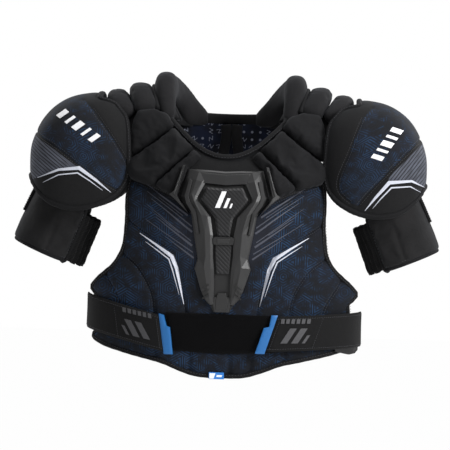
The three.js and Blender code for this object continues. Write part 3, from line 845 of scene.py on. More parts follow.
def thread():
    sh = Shader("thread")
    return sh.finish(
        color=sh.mix(sh.noise(scale=1.4), srgb(30, 31, 35), srgb(56, 57, 63)),
        rough=0.6, normal=sh.bump(sh.noise(scale=2.2), strength=0.4, distance=0.1),
        spec=0.4, sheen=0.1)


def chest_print():
    """navy print; "bib" above 0 is black, "shade" lightens"""
    sh = Shader("chest_print")
    across, up, _ = sh.split(sh.attribute("pat", "Vector"))
    color = navy_color(sh, across, up)
    bib = sh.step(sh.attribute("bib"), -0.35, 0.35)
    color = sh.mix(bib, color, speckle(sh, 0.6, (13, 13, 14), (21, 21, 22)))
    color = sh.mix(sh.attribute("shade"), color, srgb(29, 31, 39))
    return sh.finish(color=color, rough=0.84, spec=0.18, sheen=0.03, tint=(0.7, 0.78, 0.95),
                     normal=cloth_normal(sh, 1.3, weave=0.25, wrinkle=0.3))


def cap_print():
    """black cloth with navy and striped grey zones, from signed distances on the part"""
    sh = Shader("cap_print")
    across, up, _ = sh.split(sh.attribute("pat", "Vector"))
    navy = navy_color(sh, across, up)
    stripe = sh.attribute("grey_u")
    streaks = sh.noise(scale=0.05, at=sh.vector(stripe * 6.0, across, up))
    grey = sh.mix(sh.step(streaks, 0.3, 0.7), srgb(54, 56, 63), srgb(79, 82, 92))
    bend = sh.noise(scale=0.012, detail=1, at=sh.vector(across, up, 0.0))
    phase = sh.math("FRACT", stripe * 0.125 + bend * 0.5)
    bands = sh.step(abs(phase - 0.5), 0.1, 0.17, start=1.0, end=0.0)
    bands = bands * sh.step(sh.attribute("grey_fade"), 0.1, 0.6)
    grey = sh.mix(bands, grey, srgb(14, 15, 18))
    black = speckle(sh, 0.6, (8, 8, 9), (15, 15, 16))
    color = sh.mix(sh.step(sh.attribute("z_navy"), -0.4, 0.4), black, navy)
    color = sh.mix(sh.step(sh.attribute("z_grey"), -0.4, 0.4), color, grey)
    normal = cloth_normal(sh, 1.3, weave=0.22, wrinkle=0.25, wrinkle_scale=0.05)
    return sh.finish(color=color, rough=0.82, normal=normal, spec=0.2, sheen=0.03,
                     tint=(0.75, 0.82, 0.95))


def liner_print():
    """lining with one turned squiggle or dot in most cells of a grid"""
    cell_x, cell_z = 12.5, 11.5
    sh = Shader("liner_print")
    x, _, z = sh.split(sh.place)
    cell_id = sh.vector(sh.math("FLOOR", x / cell_x), sh.math("FLOOR", z / cell_z), 1.0)
    chance = sh.white(cell_id)
    kind = sh.white(sh.shifted(cell_id, (5.2, 1.3, 8.8)))
    local_x = sh.math("WRAP", x, cell_x, 0.0) - 6.2
    local_z = sh.math("WRAP", z, cell_z, 0.0) - 5.7
    cosine, sine = sh.math("COSINE", chance * 6.2), sh.math("SINE", chance * 6.2)
    along = local_x * cosine + local_z * sine
    across = local_z * cosine - local_x * sine
    wave = abs(abs(across + sh.math("SINE", along * 1.15) * 2.1) - 0.2)
    squiggle = (sh.step(wave, 0.55, 1.0, start=1.0, end=0.0)
                * sh.step(abs(along), 3.6, 4.4, start=1.0, end=0.0))
    radius = sh.node("VectorMath", {0: sh.vector(along, across, 0.0)}, "Value",
                     operation="LENGTH")
    dot = sh.step(radius, 1.6, 2.2, start=1.0, end=0.0)
    mark = sh.mix_value(kind > 0.72, squiggle, dot)
    mark = mark * (sh.white(sh.shifted(cell_id, (2.2, 7.3, 1.8))) > 0.22)
    patch = sh.noise(scale=0.035, detail=3, at=sh.vector(x, z, 2.0))
    base = sh.mix(sh.step(patch, 0.35, 0.65), srgb(13, 15, 23), srgb(19, 26, 45))
    return sh.finish(color=sh.mix(mark * 0.85, base, srgb(120, 124, 138)), rough=0.85,
                     normal=sh.bump(knit(sh, 1.2), strength=0.25, distance=0.25),
                     spec=0.15, sheen=0.03)


def loop_pile():
    """fuzzy loop cloth"""
    sh = Shader("loop_pile")
    fuzz = sh.step(sh.noise(scale=1.6, detail=3, rough=0.7), 0.35, 0.75)
    height = (sh.noise(scale=1.9, detail=3, rough=0.7)
              + sh.noise(scale=0.06, detail=4, rough=0.6))
    return sh.finish(color=sh.mix(fuzz, srgb(3, 3, 4), srgb(10, 10, 11)), rough=0.97,
                     normal=sh.bump(height, strength=0.8, distance=0.9),
                     spec=0.08, sheen=0.02)


def strap_webbing():
    """woven strap with fine ribs along its length"""
    sh = Shader("strap_webbing")
    x, y, z = sh.split(sh.place)
    rib = sh.math("SINE", z * (2 * math.pi / 1.7))
    weave = sh.math("SINE", (x + y) * (2 * math.pi / 1.1))
    height = rib * 0.5 + weave * 0.35
    return sh.finish(color=speckle(sh, 0.5, (8, 8, 9), (14, 14, 15)), rough=0.85,
                     normal=sh.bump(height, strength=0.35, distance=0.2),
                     spec=0.18, sheen=0.02)


def ribbed_elastic():
    sh = Shader("elastic_ribbed")
    x, _, z = sh.split(sh.place)
    rib = sh.math("SINE", (z + x * 0.35) * (2 * math.pi / 2.6))
    color = sh.mix(sh.step(rib, -0.6, 0.8), srgb(8, 8, 9), srgb(19, 19, 20))
    return sh.finish(color=color, rough=0.85, spec=0.15, sheen=0.02,
                     normal=sh.bump(rib, strength=0.5, distance=0.5))


def plastic(name, dark, light, rough):
    sh = Shader(name)
    grain = sh.noise(scale=1.5, detail=3, rough=0.6)
    return sh.finish(color=sh.mix(sh.noise(scale=0.02), srgb(*dark), srgb(*light)),
                     rough=sh.mix_value(grain, rough - 0.05, rough + 0.06),
                     normal=sh.bump(grain, strength=0.12, distance=0.12), spec=0.5)


def carbon_stripes():
    """diagonal ribs that fall towards +x"""
    sh = Shader("carbon_stripes")
    x, _, z = sh.split(sh.place)
    diagonal = x * 0.70 + z * 0.71
    line = sh.step(abs(sh.math("FRACT", diagonal / 4.4) - 0.5), 0.17, 0.27)
    weave = sh.math("SINE", x * 5.2) * sh.math("SINE", z * 5.2)
    color = sh.mix(line, srgb(4, 4, 5), srgb(25, 25, 27))
    color = sh.mix(sh.step(weave, 0.0, 0.8) * 0.25, color, srgb(34, 34, 36))
    return sh.finish(color=color, rough=sh.mix_value(line, 0.6, 0.42),
                     normal=sh.bump(line, strength=0.6, distance=0.5), spec=0.35)


def printed(name, dark, light, rough):
    sh = Shader(name)
    blend = sh.noise(scale=0.5, detail=3, rough=0.6)
    return sh.finish(color=sh.mix(blend, srgb(*dark), srgb(*light)), rough=rough,
                     normal=sh.bump(sh.noise(scale=1.2), strength=0.2, distance=0.1),
                     spec=0.45)


PAD = cloth("pad_fabric_black", (22, 22, 24), (33, 33, 35))
SOFT = cloth("pad_fabric_soft", (27, 27, 29), (41, 40, 42), sheen=0.05)
ARM_PAD = cloth("arm_pad_fabric", (27, 27, 28), (44, 43, 44), sheen=0.055, wrinkle=0.5)
BINDING = cloth("binding_fabric", (17, 17, 19), (28, 28, 30), rough=0.78, sheen=0.02,
                wrinkle=0.15, pitch=2.0)
WEB_CLOTH = cloth("seam_fabric", (13, 13, 15), (22, 22, 24), rough=0.8, sheen=0.0125,
                  wrinkle=0.1)
THREAD = thread()
CHEST_PRINT = chest_print()
CAP_PRINT = cap_print()
LINER = liner_print()
LOOP = loop_pile()
STRAP = strap_webbing()
ELASTIC = ribbed_elastic()
SHELL = plastic("shell_plastic", (21, 21, 22), (27, 27, 28), rough=0.4)
SHELL_DARK = plastic("shell_plastic_dark", (10, 10, 11), (14, 14, 15), rough=0.36)
GROOVE = plastic("groove_dark", (8, 8, 9), (12, 12, 13), rough=0.7)
BUCKLE = plastic("buckle_plastic", (9, 9, 10), (13, 13, 14), rough=0.42)
CARBON = carbon_stripes()
SILVER = printed("silver_print", (160, 163, 174), (192, 195, 205), rough=0.5)
WHITE = printed("white_print", (206, 206, 208), (222, 222, 224), rough=0.5)
GREY_LINE = printed("grey_line_print", (44, 47, 57), (60, 63, 75), rough=0.6)
GREY_MARK = printed("grey_mark_print", (46, 46, 49), (60, 60, 63), rough=0.6)
BLUE = printed("blue_rubber", (14, 82, 140), (20, 94, 154), rough=0.45)
TAG_BLUE = printed("tag_blue", (26, 104, 180), (34, 116, 196), rough=0.6)
TAG_WHITE = printed("tag_white", (214, 222, 232), (232, 238, 244), rough=0.6)

# ------------------------------------------------------------------ chest panel
# Half outlines in (x, z), from the middle of the hem up to the middle of the neck
CHEST_SIDE = [
    [0, 0], [-34, 1.5], [-60, 9], [-87, 19.5], [-118, 26.7], [-148, 33.6], [-172, 40],
    [-189, 48], [-190, 58], [-183, 68], [-183, 108], [-190, 118], [-196, 127], [-184, 141],
    [-174, 150], [-161, 163], [-151, 181], [-146.5, 200], [-145, 230], [-145.5, 255],
    [-143.5, 282], [-138, 310], [-134, 335], [-128, 354], [-116, 363]]
NECK_LOW = [[-84, 364], [-66, 347.5], [-48, 331.5], [-30, 320.5], [-14, 315.6], [0, 315]]
NECK_HIGH = [[-84, 369.5], [-66, 354.5], [-48, 339], [-30, 327.5], [-14, 322.6], [0, 322]]
CHEST = close_sym(CHEST_SIDE + NECK_LOW)
CHEST_TALL = close_sym(CHEST_SIDE + NECK_HIGH)

TOP_SEAM = [[-146, 288.3], [-126, 281.5], [-106.1, 274.6], [-75.5, 261.2], [-50, 243]]
# Sewn seams on the right half, each with a mirrored twin
PAIRED_SEAMS = [
    [[-141, 226.5], [-137, 224.5], [-108.8, 205.8], [-81.8, 187.8], [-71, 175.5],
     [-64.5, 155], [-56.6, 125.8], [-53.4, 104.8], [-50, 84]],
    [[-150, 178.5], [-145.5, 175.4], [-126.8, 160.9], [-111.9, 140.3], [-103.6, 124],
     [-99.6, 106.3], [-98, 84]],
    [[-172, 146], [-167, 137], [-158, 124], [-148, 106], [-144, 88]],
    [[-44, 5.5], [-45.5, 38]],
    [[-93, 23], [-95, 44]],
    TOP_SEAM]
HEM_SEAM = [[14, 4.5], [13, 38]]      # short straight seam left of the middle
# Outline of the black part above the top seam
BIB_RIGHT = np.array([[-170, 420], [-170, 296], *TOP_SEAM, [-30, 232]], float)
BIB = np.vstack([BIB_RIGHT[1:], mirror_x(BIB_RIGHT)[::-1], BIB_RIGHT[:1]])


def chest_seams():
    seams = []
    for seam in PAIRED_SEAMS:
        line = curve(seam, 4.0) if len(seam) > 2 else np.array(seam, float)
        seams += [line, mirror_x(line)]
    return seams + [np.array(HEM_SEAM, float)]


SEAMS = chest_seams()


def ripple(points, size=1.0):
    """shallow unevenness of stuffed cloth"""
    x, z = points[:, 0], points[:, 1]
    return size * (0.55 * np.sin(x * 0.061 + 1.1) * np.sin(z * 0.052 + 0.4)
                   + 0.3 * np.sin(x * 0.13 - z * 0.09)
                   + 0.18 * np.sin(x * 0.031 + z * 0.21 + 2))


def pillow(d, width, power=2.2):
    """rounded rise from 0 at an edge to 1 at the width"""
    ratio = np.clip(d / width, 0, 1)
    return (1 - (1 - ratio) ** power) ** (1 / power)


def chest_top(points):
    """outer height of the chest cloth, sunk at the seams and the edge"""
    points = np.asarray(points, float).reshape(-1, 2)
    d = nearest(points, SEAMS)
    edge = dist(points, CHEST_TALL, True)
    swell = 1.3 * (1 - np.exp(-(d / 13) ** 2)) * (points[:, 1] < 285)
    top = 6.2 - 3.6 * np.exp(-(d / 2.1) ** 2) + swell
    top += ripple(points, 0.5)
    top -= 2.2 * np.exp(-(edge / 7.0) ** 2)
    return np.clip(top, 2.0, 7.4)


def chest_panel():
    lines = []
    area = inset(CHEST, 5.0)
    for seam in SEAMS:
        for shift in (0.0, 2.3, -2.3):
            line = parallel(seam, shift) if len(seam) > 2 else seam + np.array([shift, 0])
            line = line[inside(line, area)]
            if len(line) > 1:
                lines.append(line)
    ob, points, _ = torso_slab("chest_panel", inset(CHEST_TALL, 2.6), by_speed(4.0),
                               FRONT, chest_top, 0.0, CHEST_PRINT, lines)
    set_pattern_place(ob, points)
    set_field(ob, "bib", signed_dist(points, BIB))
    # lighter band that rises from the sternum to both sides
    x, z = np.abs(points[:, 0]), points[:, 1]
    band_z = 205 + (x - 47) * 0.92
    shade = np.clip(1 - (x - 42) / 46, 0, 1) ** 0.8 * np.exp(-((z - band_z) / 34) ** 4)
    set_field(ob, "shade", 0.85 * shade)
    mount(ob, "chest", "fabric_navy", "chest_shell")


def torso_stitches(line, off, side, length, pitch, radius):
    path = onto(line, off, side)
    return stitches(path, onto(line, off + 1, side) - path, length, pitch, radius)


def chest_thread():
    """double thread beside the seams, left out under the belly patch"""
    rows = []
    area = inset(CHEST, 7.5)
    for seam in SEAMS:
        x, z = seam[:, 0], seam[:, 1]
        shown = np.nonzero(inside(seam, area) & ~((np.abs(x) < 79) & (z > 39) & (z < 96)))[0]
        if len(shown) > 3:
            for gap in (1.7, -1.7):
                line = parallel(seam[shown[0]:shown[-1] + 1], gap)
                rows.append(torso_stitches(line, chest_top(line) + 0.1, FRONT,
                                           length=2.4, pitch=3.9, radius=0.26))
    mount(join("chest_seam_thread", rows), "chest", "fabric_navy")


def torso_binding(name, outline, side, mid, width, height, body, node, thread_side,
                  closed=False):
    """rolled edge tape; mid is the height of its middle above the torso"""
    power, thread_place = 2.6, 0.27
    line = curve(outline, 4.0, closed)
    path = onto(line, mid, side)
    steps = np.arange(len(line))
    wobble = 1 + 0.03 * np.sin(steps * 1.7) + 0.02 * np.sin(steps * 0.61)
    tape = sweep(name, path, onto(line, mid + 1, side) - path,
                 ellipse(width / 2, height / 2, 14, power), BINDING, closed, wobble)
    thread_line = parallel(line, width * thread_place * thread_side)
    lift = mid + height / 2 * (1 - (2 * thread_place) ** power) ** (1 / power) + 0.02
    row = torso_stitches(thread_line, lift, side, length=2.6, pitch=4.4, radius=0.3)
    mount(join(name, [tape, row]), body, "binding", node)


def chest_bindings():
    path = inset(CHEST, 3.2)
    count = len(CHEST_SIDE)
    torso_binding("front_edge_piping", np.vstack([path[-(count - 1):], path[:count]]), FRONT,
                  mid=3.4, width=7.2, height=9.6, body="chest", node="front_edge_binding",
                  thread_side=-1)
    neck = np.array([[-84.5, 376], [-81, 371.5], [-68, 358.5], [-50, 342], [-30.3, 329.5],
                     [-13, 323.6], [0, 322.6]])
    torso_binding("neck_piping", np.vstack([neck, mirror_x(neck[:-1])[::-1]]), FRONT,
                  mid=3.9, width=8.6, height=11.0, body="chest", node="neck_binding",
                  thread_side=-1)


chest_panel()
chest_thread()
chest_bindings()

# ------------------------------------------------------------------ clavicle cushions
CLAVICLE_PADS = {
    "inner": [
        [-47.5, 330.0], [-36.5, 320.2], [-46, 311], [-53.8, 303], [-60.4, 288], [-68, 271],
        [-75.5, 265.4], [-91, 271.4], [-98.4, 278.5], [-95.8, 284]],
    "middle": [
        [-78, 360.5], [-49.6, 333.6], [-97.4, 285.6], [-101.5, 277.8], [-118, 280.4],
        [-134.6, 286.4], [-138.6, 296], [-139.2, 313.6]],
    "outer": [
        [-131.5, 385], [-108, 386.5], [-89.5, 380], [-81.5, 368.4], [-79.8, 363.6],
        [-139.3, 317.4], [-139.2, 350], [-136, 372]],
}


def clavicle_pad(place, outline):
    outline = inset(outline, -1.1)

    def top(points):
        rise = pillow(dist(points, outline, True), 13.0)
        return 8.4 + 11.6 * rise + ripple(points * 1.9, 0.7)

    def bottom(points):
        return 8.4 - 1.9 * pillow(dist(points, outline, True), 6.0)

    ob, points, tris = torso_slab("clavicle_pad_%s_right" % place, outline,
                                  by_speed(3.6), FRONT, top, bottom, PAD)
    puff(ob, pressure=3.2, frames=16, max_move=3.6, shrink=-0.07, bend=0.25,
         pins=pin_weights(rim_mask(tris, len(points))))
    mount_pair(ob, "chest", "fabric_black", "clavicle_" + place)


for place, outline in CLAVICLE_PADS.items():
    clavicle_pad(place, outline)

# ------------------------------------------------------------------ chest marks
CHEVRON = ribbon([[-121.3, 208.5], [-97, 192.6], [-74.5, 177.0], [-67.0, 160], [-55.2, 107.5]],
                 [0.5, 2.8, 5.4, 4.6, 0.5])
THIN_CHEVRON = ribbon([[-112.5, 196.5], [-95, 184.5], [-78.2, 172.2], [-72.6, 157],
                       [-62.2, 122.0]], [0.3, 1.2, 1.7, 1.5, 0.3])
# Slanted lines: outer x, z, inner x, z, width at the outer and inner end
SPEED_LINES = [
    (-120.0, 284.0, -53, 236.5, 0.9, 2.6), (-112.6, 269.6, -46.4, 221.6, 0.6, 1.6),
    (-106, 259.0, -45.4, 213.6, 0.6, 2.9), (-112.1, 250.1, -47.1, 200.5, 0.5, 1.4),
    (-98, 232.8, -45.1, 193.5, 0.5, 3.2), (-112.9, 229.1, -43.6, 183.6, 0.6, 1.5),
    (-84, 205.2, -42.2, 175.5, 0.5, 2.6), (-104, 240.5, -64, 211.8, 0.4, 1.1),
    (-96, 262.0, -60, 236.0, 0.4, 1.2)]


def chest_decal(name, outlines, mat, thick, step, lift):
    obs = [torso_slab(name, outline, step, FRONT,
                      lambda points: chest_top(points) + lift + thick,
                      lambda points: chest_top(points) - 0.4, mat, smooth=False)[0]
           for outline in outlines]
    mount(join(name, obs), "chest", "fabric_navy")


def chest_marks():
    chevrons = [CHEVRON, THIN_CHEVRON]
    chevrons += [mirror_x(outline)[::-1] for outline in chevrons]
    chest_decal("chest_chevrons", chevrons, SILVER, thick=0.45, step=2.6, lift=0.15)
    lines = []
    for x0, z0, x1, z1, thin, wide in SPEED_LINES:
        line = ribbon([(x0, z0), ((x0 + x1) / 2, (z0 + z1) / 2), (x1, z1)],
                      [thin * 0.6, (thin + wide) / 2, wide])
        lines += [line, mirror_x(line)[::-1]]
    chest_decal("chest_speed_lines", lines, GREY_LINE, thick=0.2, step=3.0, lift=0.1)


chest_marks()

# ------------------------------------------------------------------ front lining
LINING = close_sym([
    [0, 18], [-34, 20], [-62, 28], [-120, 44], [-160, 56], [-170, 70], [-172, 100],
    [-168, 118], [-156, 138], [-143, 158], [-131, 182], [-127, 215], [-127, 280],
    [-125, 326], [-112, 344], [-88, 344], [-70, 326], [-48, 308], [-24, 297], [0, 295]])


def quilted(outline, lines, base, depth):
    """inner height of a lining quilted along lines"""
    def height(points):
        d = nearest(points, lines)
        return base - depth * pillow(np.minimum(dist(points, outline, True), d * 0.9 + 1.5), 12)
    return height


def front_lining():
    columns = (-120, -72, -24, 24, 72, 120)
    quilting = [np.array([[x, 20], [x, 330]], float) for x in columns]
    lining = torso_slab("front_lining", LINING, by_speed(5.5), FRONT, -1.0,
                        quilted(LINING, quilting, base=-6.2, depth=7.0), LINER,
                        [np.array([[x, 40], [x, 290]], float) for x in columns])[0]
    mount(lining, "chest", "foam_liner", "front_liner")


front_lining()

# ------------------------------------------------------------------ sternum guard
# Shell stations: rim x, z, crest x, z, crest height, inner lip x, z
SHELL_RINGS = np.array([
    [-17, 108, -13.6, 112, 13.0, -10.6, 108],
    [-25.2, 116.5, -18, 121, 15.5, -11.0, 120],
    [-30.9, 130.2, -21.5, 134, 16.6, -11.2, 133],
    [-40.5, 161.1, -26.5, 163, 18.0, -12.2, 160],
    [-36.5, 174.9, -24.5, 180, 18.8, -14.2, 180],
    [-42.3, 209.1, -26.5, 214, 19.4, -14.6, 209],
    [-47, 237.6, -32.5, 236, 19.6, -19.0, 234],
    [-57, 249, -43.5, 256, 19.4, -38.6, 257.5],
    [-63.5, 262, -46.5, 266, 19.0, -38.2, 262],
    [-57.5, 288, -41, 285, 17.6, -29.0, 281.0],
    [-54, 302, -38, 297.5, 15.4, -22, 282.6],
    [-24, 301, -20, 297.5, 14.2, -12, 281.0],
    [0, 299.5, 0, 296, 14.0, 0, 280.4]])
CROWN = [[-31, 281.6], [0, 279.6], [31, 281.6], [36, 296.5], [20, 295.0], [0, 293.6],
         [-20, 295.0], [-36, 296.5]]
LEG_RIB = [[-38.5, 211], [-44.0, 237], [-53.5, 251], [-56.5, 262], [-50.5, 286], [-46.5, 284],
           [-51.0, 263], [-48.4, 254], [-39.5, 240], [-34.8, 212]]
BASE = [[-11.8, 98], [-21, 118], [-29, 150], [-34, 205], [-44, 240], [-50, 262], [-44, 292],
        [0, 292], [44, 292], [50, 262], [44, 240], [34, 205], [29, 150], [21, 118], [11.8, 98]]
LOW_PAD = [[-10.4, 98], [-13.4, 110], [-11.6, 120], [11.6, 120], [13.4, 110], [10.4, 98]]
LOW_LUG = [[-8.4, 101], [-9.6, 113], [-6, 127], [6, 127], [9.6, 113], [8.4, 101]]
SHIELD = [[-26.4, 277.7], [0, 275.8], [26.4, 277.7], [35.4, 258.7], [14.1, 231.9],
          [10.1, 206.5], [-10.1, 206.5], [-14.1, 231.9], [-35.4, 258.7]]
SHIELD_MARKS = [
    [[-13.5, 246.5], [-6.5, 246.5], [2.5, 270.5], [-4.5, 270.5]],
    [[-1.5, 246.5], [3.0, 246.5], [8.4, 261], [3.9, 261]],
    [[7.0, 246.5], [9.6, 246.5], [12.0, 253.4], [9.4, 253.4]]]
SPINE_INSERT = [[-12.4, 200], [12.4, 200], [11.6, 180], [9.4, 154], [-9.4, 154], [-11.6, 180]]
BRIDGE = [[-14, 196], [14, 196], [16, 205.4], [11.5, 208], [-11.5, 208], [-16, 205.4]]
BRIDGE_TOP = [[-8.5, 198], [8.5, 198], [9.5, 204.4], [-9.5, 204.4]]
FIN = [[-56.0, 302.8], [-59.4, 302.4], [-69.6, 267.7], [-75.4, 263.0], [-66.5, 254.5],
       [-50.5, 238.0], [-59.6, 249.6], [-65.6, 262.2]]
FIN_RIDGE = [[-58.6, 296], [-61.2, 293.6], [-67.2, 270], [-71.4, 265.6], [-65, 259.6],
             [-67.6, 264.0]]
FIN_FOOT = [[-50.5, 238.0], [-66.5, 254.5], [-75.4, 263.0], [-72, 263], [-60, 252]]


def faceted_shell():
    """U-shaped shell, seven points round each station"""
    mirrored = SHELL_RINGS[-2::-1] * [-1, 1, -1, 1, 1, -1, 1]
    stations = np.vstack([SHELL_RINGS, mirrored])
    points, heights, faces = [], [], []
    for station in stations:
        rim, crest, height, lip = station[:2], station[2:4], station[4], station[5:]
        points += [rim, rim, rim * 0.86 + crest * 0.14, crest, crest * 0.35 + lip * 0.65,
                   lip, lip]
        heights += [8.2, 11.2, 12.6, height, height - 1.6, height - 3.8, 8.4]
    ring = 7
    for i in range(len(stations) - 1):
        a, b = i * ring, (i + 1) * ring
        for j in range(ring - 1):
            faces.append((a + j, b + j, b + j + 1, a + j + 1))
        faces.append((a + ring - 1, b + ring - 1, b, a))
    faces.append(tuple(range(ring)))
    faces.append(tuple((len(stations) - 1) * ring + j for j in range(ring))[::-1])
    verts = onto(np.array(points), np.array(heights), FRONT)
    shell = fix_out(make("sternum_shell", verts, faces, SHELL, smooth=False))
    return bevel(shell, 0.7, angle=14)


def plate(outline, bottom, top, mat, step, round_edge):
    """flat-topped plate on the chest, with no points inside its outline"""
    ob = torso_slab("plate", outline, step, FRONT, top, bottom, mat, grid=False,
                    smooth=False)[0]
    if round_edge:
        bevel(ob, round_edge, angle=25)
    return ob


def sternum_plate():
    parts = [faceted_shell(), plate(CROWN, 9.0, 15.0, SHELL, 60, 0.8)]
    for sign in (1, -1):
        def on_side(outline):
            return np.array(outline, float) if sign > 0 else mirror_x(outline)[::-1]
        parts.append(plate(on_side(LEG_RIB), 10.0, 18.2, SHELL, 80, 0.6))
        # slanted dark bars at the foot of the leg
        for k in range(3):
            x, z = -21.5 - 0.2 * k, 121.0 + 7.2 * k
            cut = on_side([[x - 6.6, z - 2.2], [x + 3.2, z + 4.4],
                           [x + 3.9, z + 2.7], [x - 5.8, z - 3.9]])
            parts.append(plate(cut, 11.0, 18.3 + 0.3 * k, GROOVE, 40, 0.3))
    mount(join("sternum_plate", parts), "chest", "plastic_shell", "sternum_frame")


def sternum_base():
    parts = [plate(BASE, 5.0, 9.4, GROOVE, 9, 0),
             plate(LOW_PAD, 8.4, 11.6, SHELL_DARK, 30, 0.9),
             plate(LOW_LUG, 9.4, 13.0, BUCKLE, 30, 0.9)]
    mount(join("sternum_base", parts), "chest", "loop_fabric", "sternum_base_pad")


def carbon_plate(name, outline, height, edge, drop):
    """insert whose rim falls by drop over the width edge"""
    def top(points):
        return height - drop * (1 - np.clip(dist(points, outline, True) / edge, 0, 1))
    inner = inset(outline, edge)
    return torso_slab(name, outline, 3.0, FRONT, top, 9.0, CARBON,
                      [np.vstack([inner, inner[:1]])], smooth=False)[0]


def sternum_inserts():
    parts = [carbon_plate("shield", inset(SHIELD, 1.4), 16.4, edge=3.0, drop=1.8)]
    for outline in SHIELD_MARKS:
        mark = torso_slab("mark", outline, 4.0, FRONT, 17.2, 15.8, WHITE, smooth=False)[0]
        parts.append(bevel(mark, 0.25, angle=30, segments=1))
    mount(join("sternum_shield", parts), "chest", "carbon_insert", "sternum_shield_insert")
    parts = [carbon_plate("spine", SPINE_INSERT, 13.4, edge=1.6, drop=1.0),
             plate(BRIDGE, 10.0, 17.2, SHELL_DARK, 40, 1.1),
             plate(BRIDGE_TOP, 16.0, 18.2, SHELL, 40, 0.7)]
    mount(join("sternum_spine", parts), "chest", "carbon_insert", "sternum_spine_insert")


def sternum_fins():
    parts = [plate(FIN, 19.0, 25.8, SHELL, 80, 0.7),
             plate(FIN_RIDGE, 24.0, 27.2, SHELL, 80, 0.5),
             plate(FIN_FOOT, 8.0, 20.5, SHELL_DARK, 80, 0.5)]
    mount_pair(join("sternum_fin_plate_right", parts), "chest", "plastic_shell",
               "sternum_fin")


sternum_plate()
sternum_base()
sternum_inserts()
sternum_fins()

# ------------------------------------------------------------------ belly patch and label
LOOP_PATCH = [[-80, 40.5], [0, 37.0], [71, 40.5], [79, 42], [79, 94], [0, 95], [-80, 95]]
# Label parts: outline, top and bottom height, material
LABEL_PARTS = [
    ([[-16, 9.6], [6, 9.6], [6, -0.2], [-16, -0.2]], 10.0, 7.6, TAG_BLUE),
    ([[-15.2, 8.6], [-6.4, 8.6], [-9.0, 0.6], [-15.2, 0.6]], 10.3, 9.4, TAG_WHITE),
    ([[-4.4, 6.2], [3.4, 6.2], [2.6, 3.2], [-5.2, 3.2]], 10.3, 9.4, TAG_WHITE)]


def belly_patch():
    def top(points):
        edge = dist(points, LOOP_PATCH, True)
        return 10.3 + ripple(points * 2, 0.25) - 1.2 * np.exp(-(edge / 1.6) ** 2)
    patch = torso_slab("belly_loop", LOOP_PATCH, 5, FRONT, top, 5.5, LOOP)[0]
    mount(patch, "chest", "loop_fabric", "belly_loop_patch")
    parts = [torso_slab("label", outline, 5, FRONT, top_height, bottom, mat, smooth=False)[0]
             for outline, top_height, bottom, mat in LABEL_PARTS]
    mount(join("size_label", parts), "chest", "blue_trim", "size_tab")


belly_patch()

# ------------------------------------------------------------------ belly straps
# The straps follow a fixed superellipse round the waist
WAIST_HALF, WAIST_FRONT, WAIST_BACK = 190, 125.5, 102
STRAP_IN, STRAP_OUT = 12.7, 16.4      # offsets of the strap's two faces
STRAP_END_PHI = math.radians(4)
# The strap's middle is at height "z" where x is "from_x" and rises by "slope". Its front end
# lies at x "end_x" for the heights "end_z". Bars and blocks are marks on it, rising by
# "mark_slope". x is measured outward on both sides.
BELTS = {
    "right": dict(
        sign=-1, z=62, from_x=80, slope=0.237, end_z=[33, 92.4], end_x=[80.0, 89.0],
        bars=(98, 88), blocks=(119, 67.5), mark_slope=0.20, hook_x=88,
        tip=[[88.3, 92.4], [81.6, 90.6], [77.6, 75], [72.6, 73], [67.4, 33.2], [79.6, 33.2]]),
    "left": dict(
        sign=1, z=66.5, from_x=62, slope=0.05, end_z=[38, 95], end_x=[63.0, 80.4],
        bars=(84, 86.5), blocks=(104, 65.0), mark_slope=0.02, hook_x=74,
        tip=[[79.8, 95], [71.2, 95], [68.5, 78.1], [61, 76], [49.5, 38], [62.6, 38]]),
}
SLANT_BLOCKS = [
    [[-20, -10.5], [-11, -10.5], [2, 11.5], [-7, 11.5]],
    [[-5.5, -10.5], [3.5, -10.5], [16.5, 11.5], [7.5, 11.5]],
    [[9, -10.5], [13, -10.5], [20, 1.5], [16, 1.5]]]
BUCKLE_LOOP = [[158, 48], [186.5, 51], [186.5, 43], [183, 38.5], [176, 37.2], [158, 42.5]]


def around(phi, z, off, sign):
    """points round the waist; phi is 0 at the side and grows towards the front"""
    phi = np.asarray(phi, float)
    cosine, sine = np.cos(phi), np.sin(phi)
    depth = np.where(sine >= 0, WAIST_FRONT, WAIST_BACK)
    x = WAIST_HALF * np.abs(cosine) ** (2 / TORSO_POWER)
    y = -depth * np.sign(sine) * np.abs(sine) ** (2 / TORSO_POWER)
    norm_x = (x / WAIST_HALF) ** (TORSO_POWER - 1) / WAIST_HALF
    norm_y = -np.sign(sine) * (np.abs(y) / depth) ** (TORSO_POWER - 1) / depth
    size = np.hypot(norm_x, norm_y)
    return stack3(sign * (x + norm_x / size * off), y + norm_y / size * off, z + 0 * x)


def phi_at(x):
    return np.arccos(np.minimum(1, x / WAIST_HALF) ** (TORSO_POWER / 2))


def belt_z(belt, x):
    return belt["z"] + (np.minimum(x, 205) - belt["from_x"]) * belt["slope"]


def belt_end_x(belt, z):
    return np.interp(z, belt["end_z"], belt["end_x"])


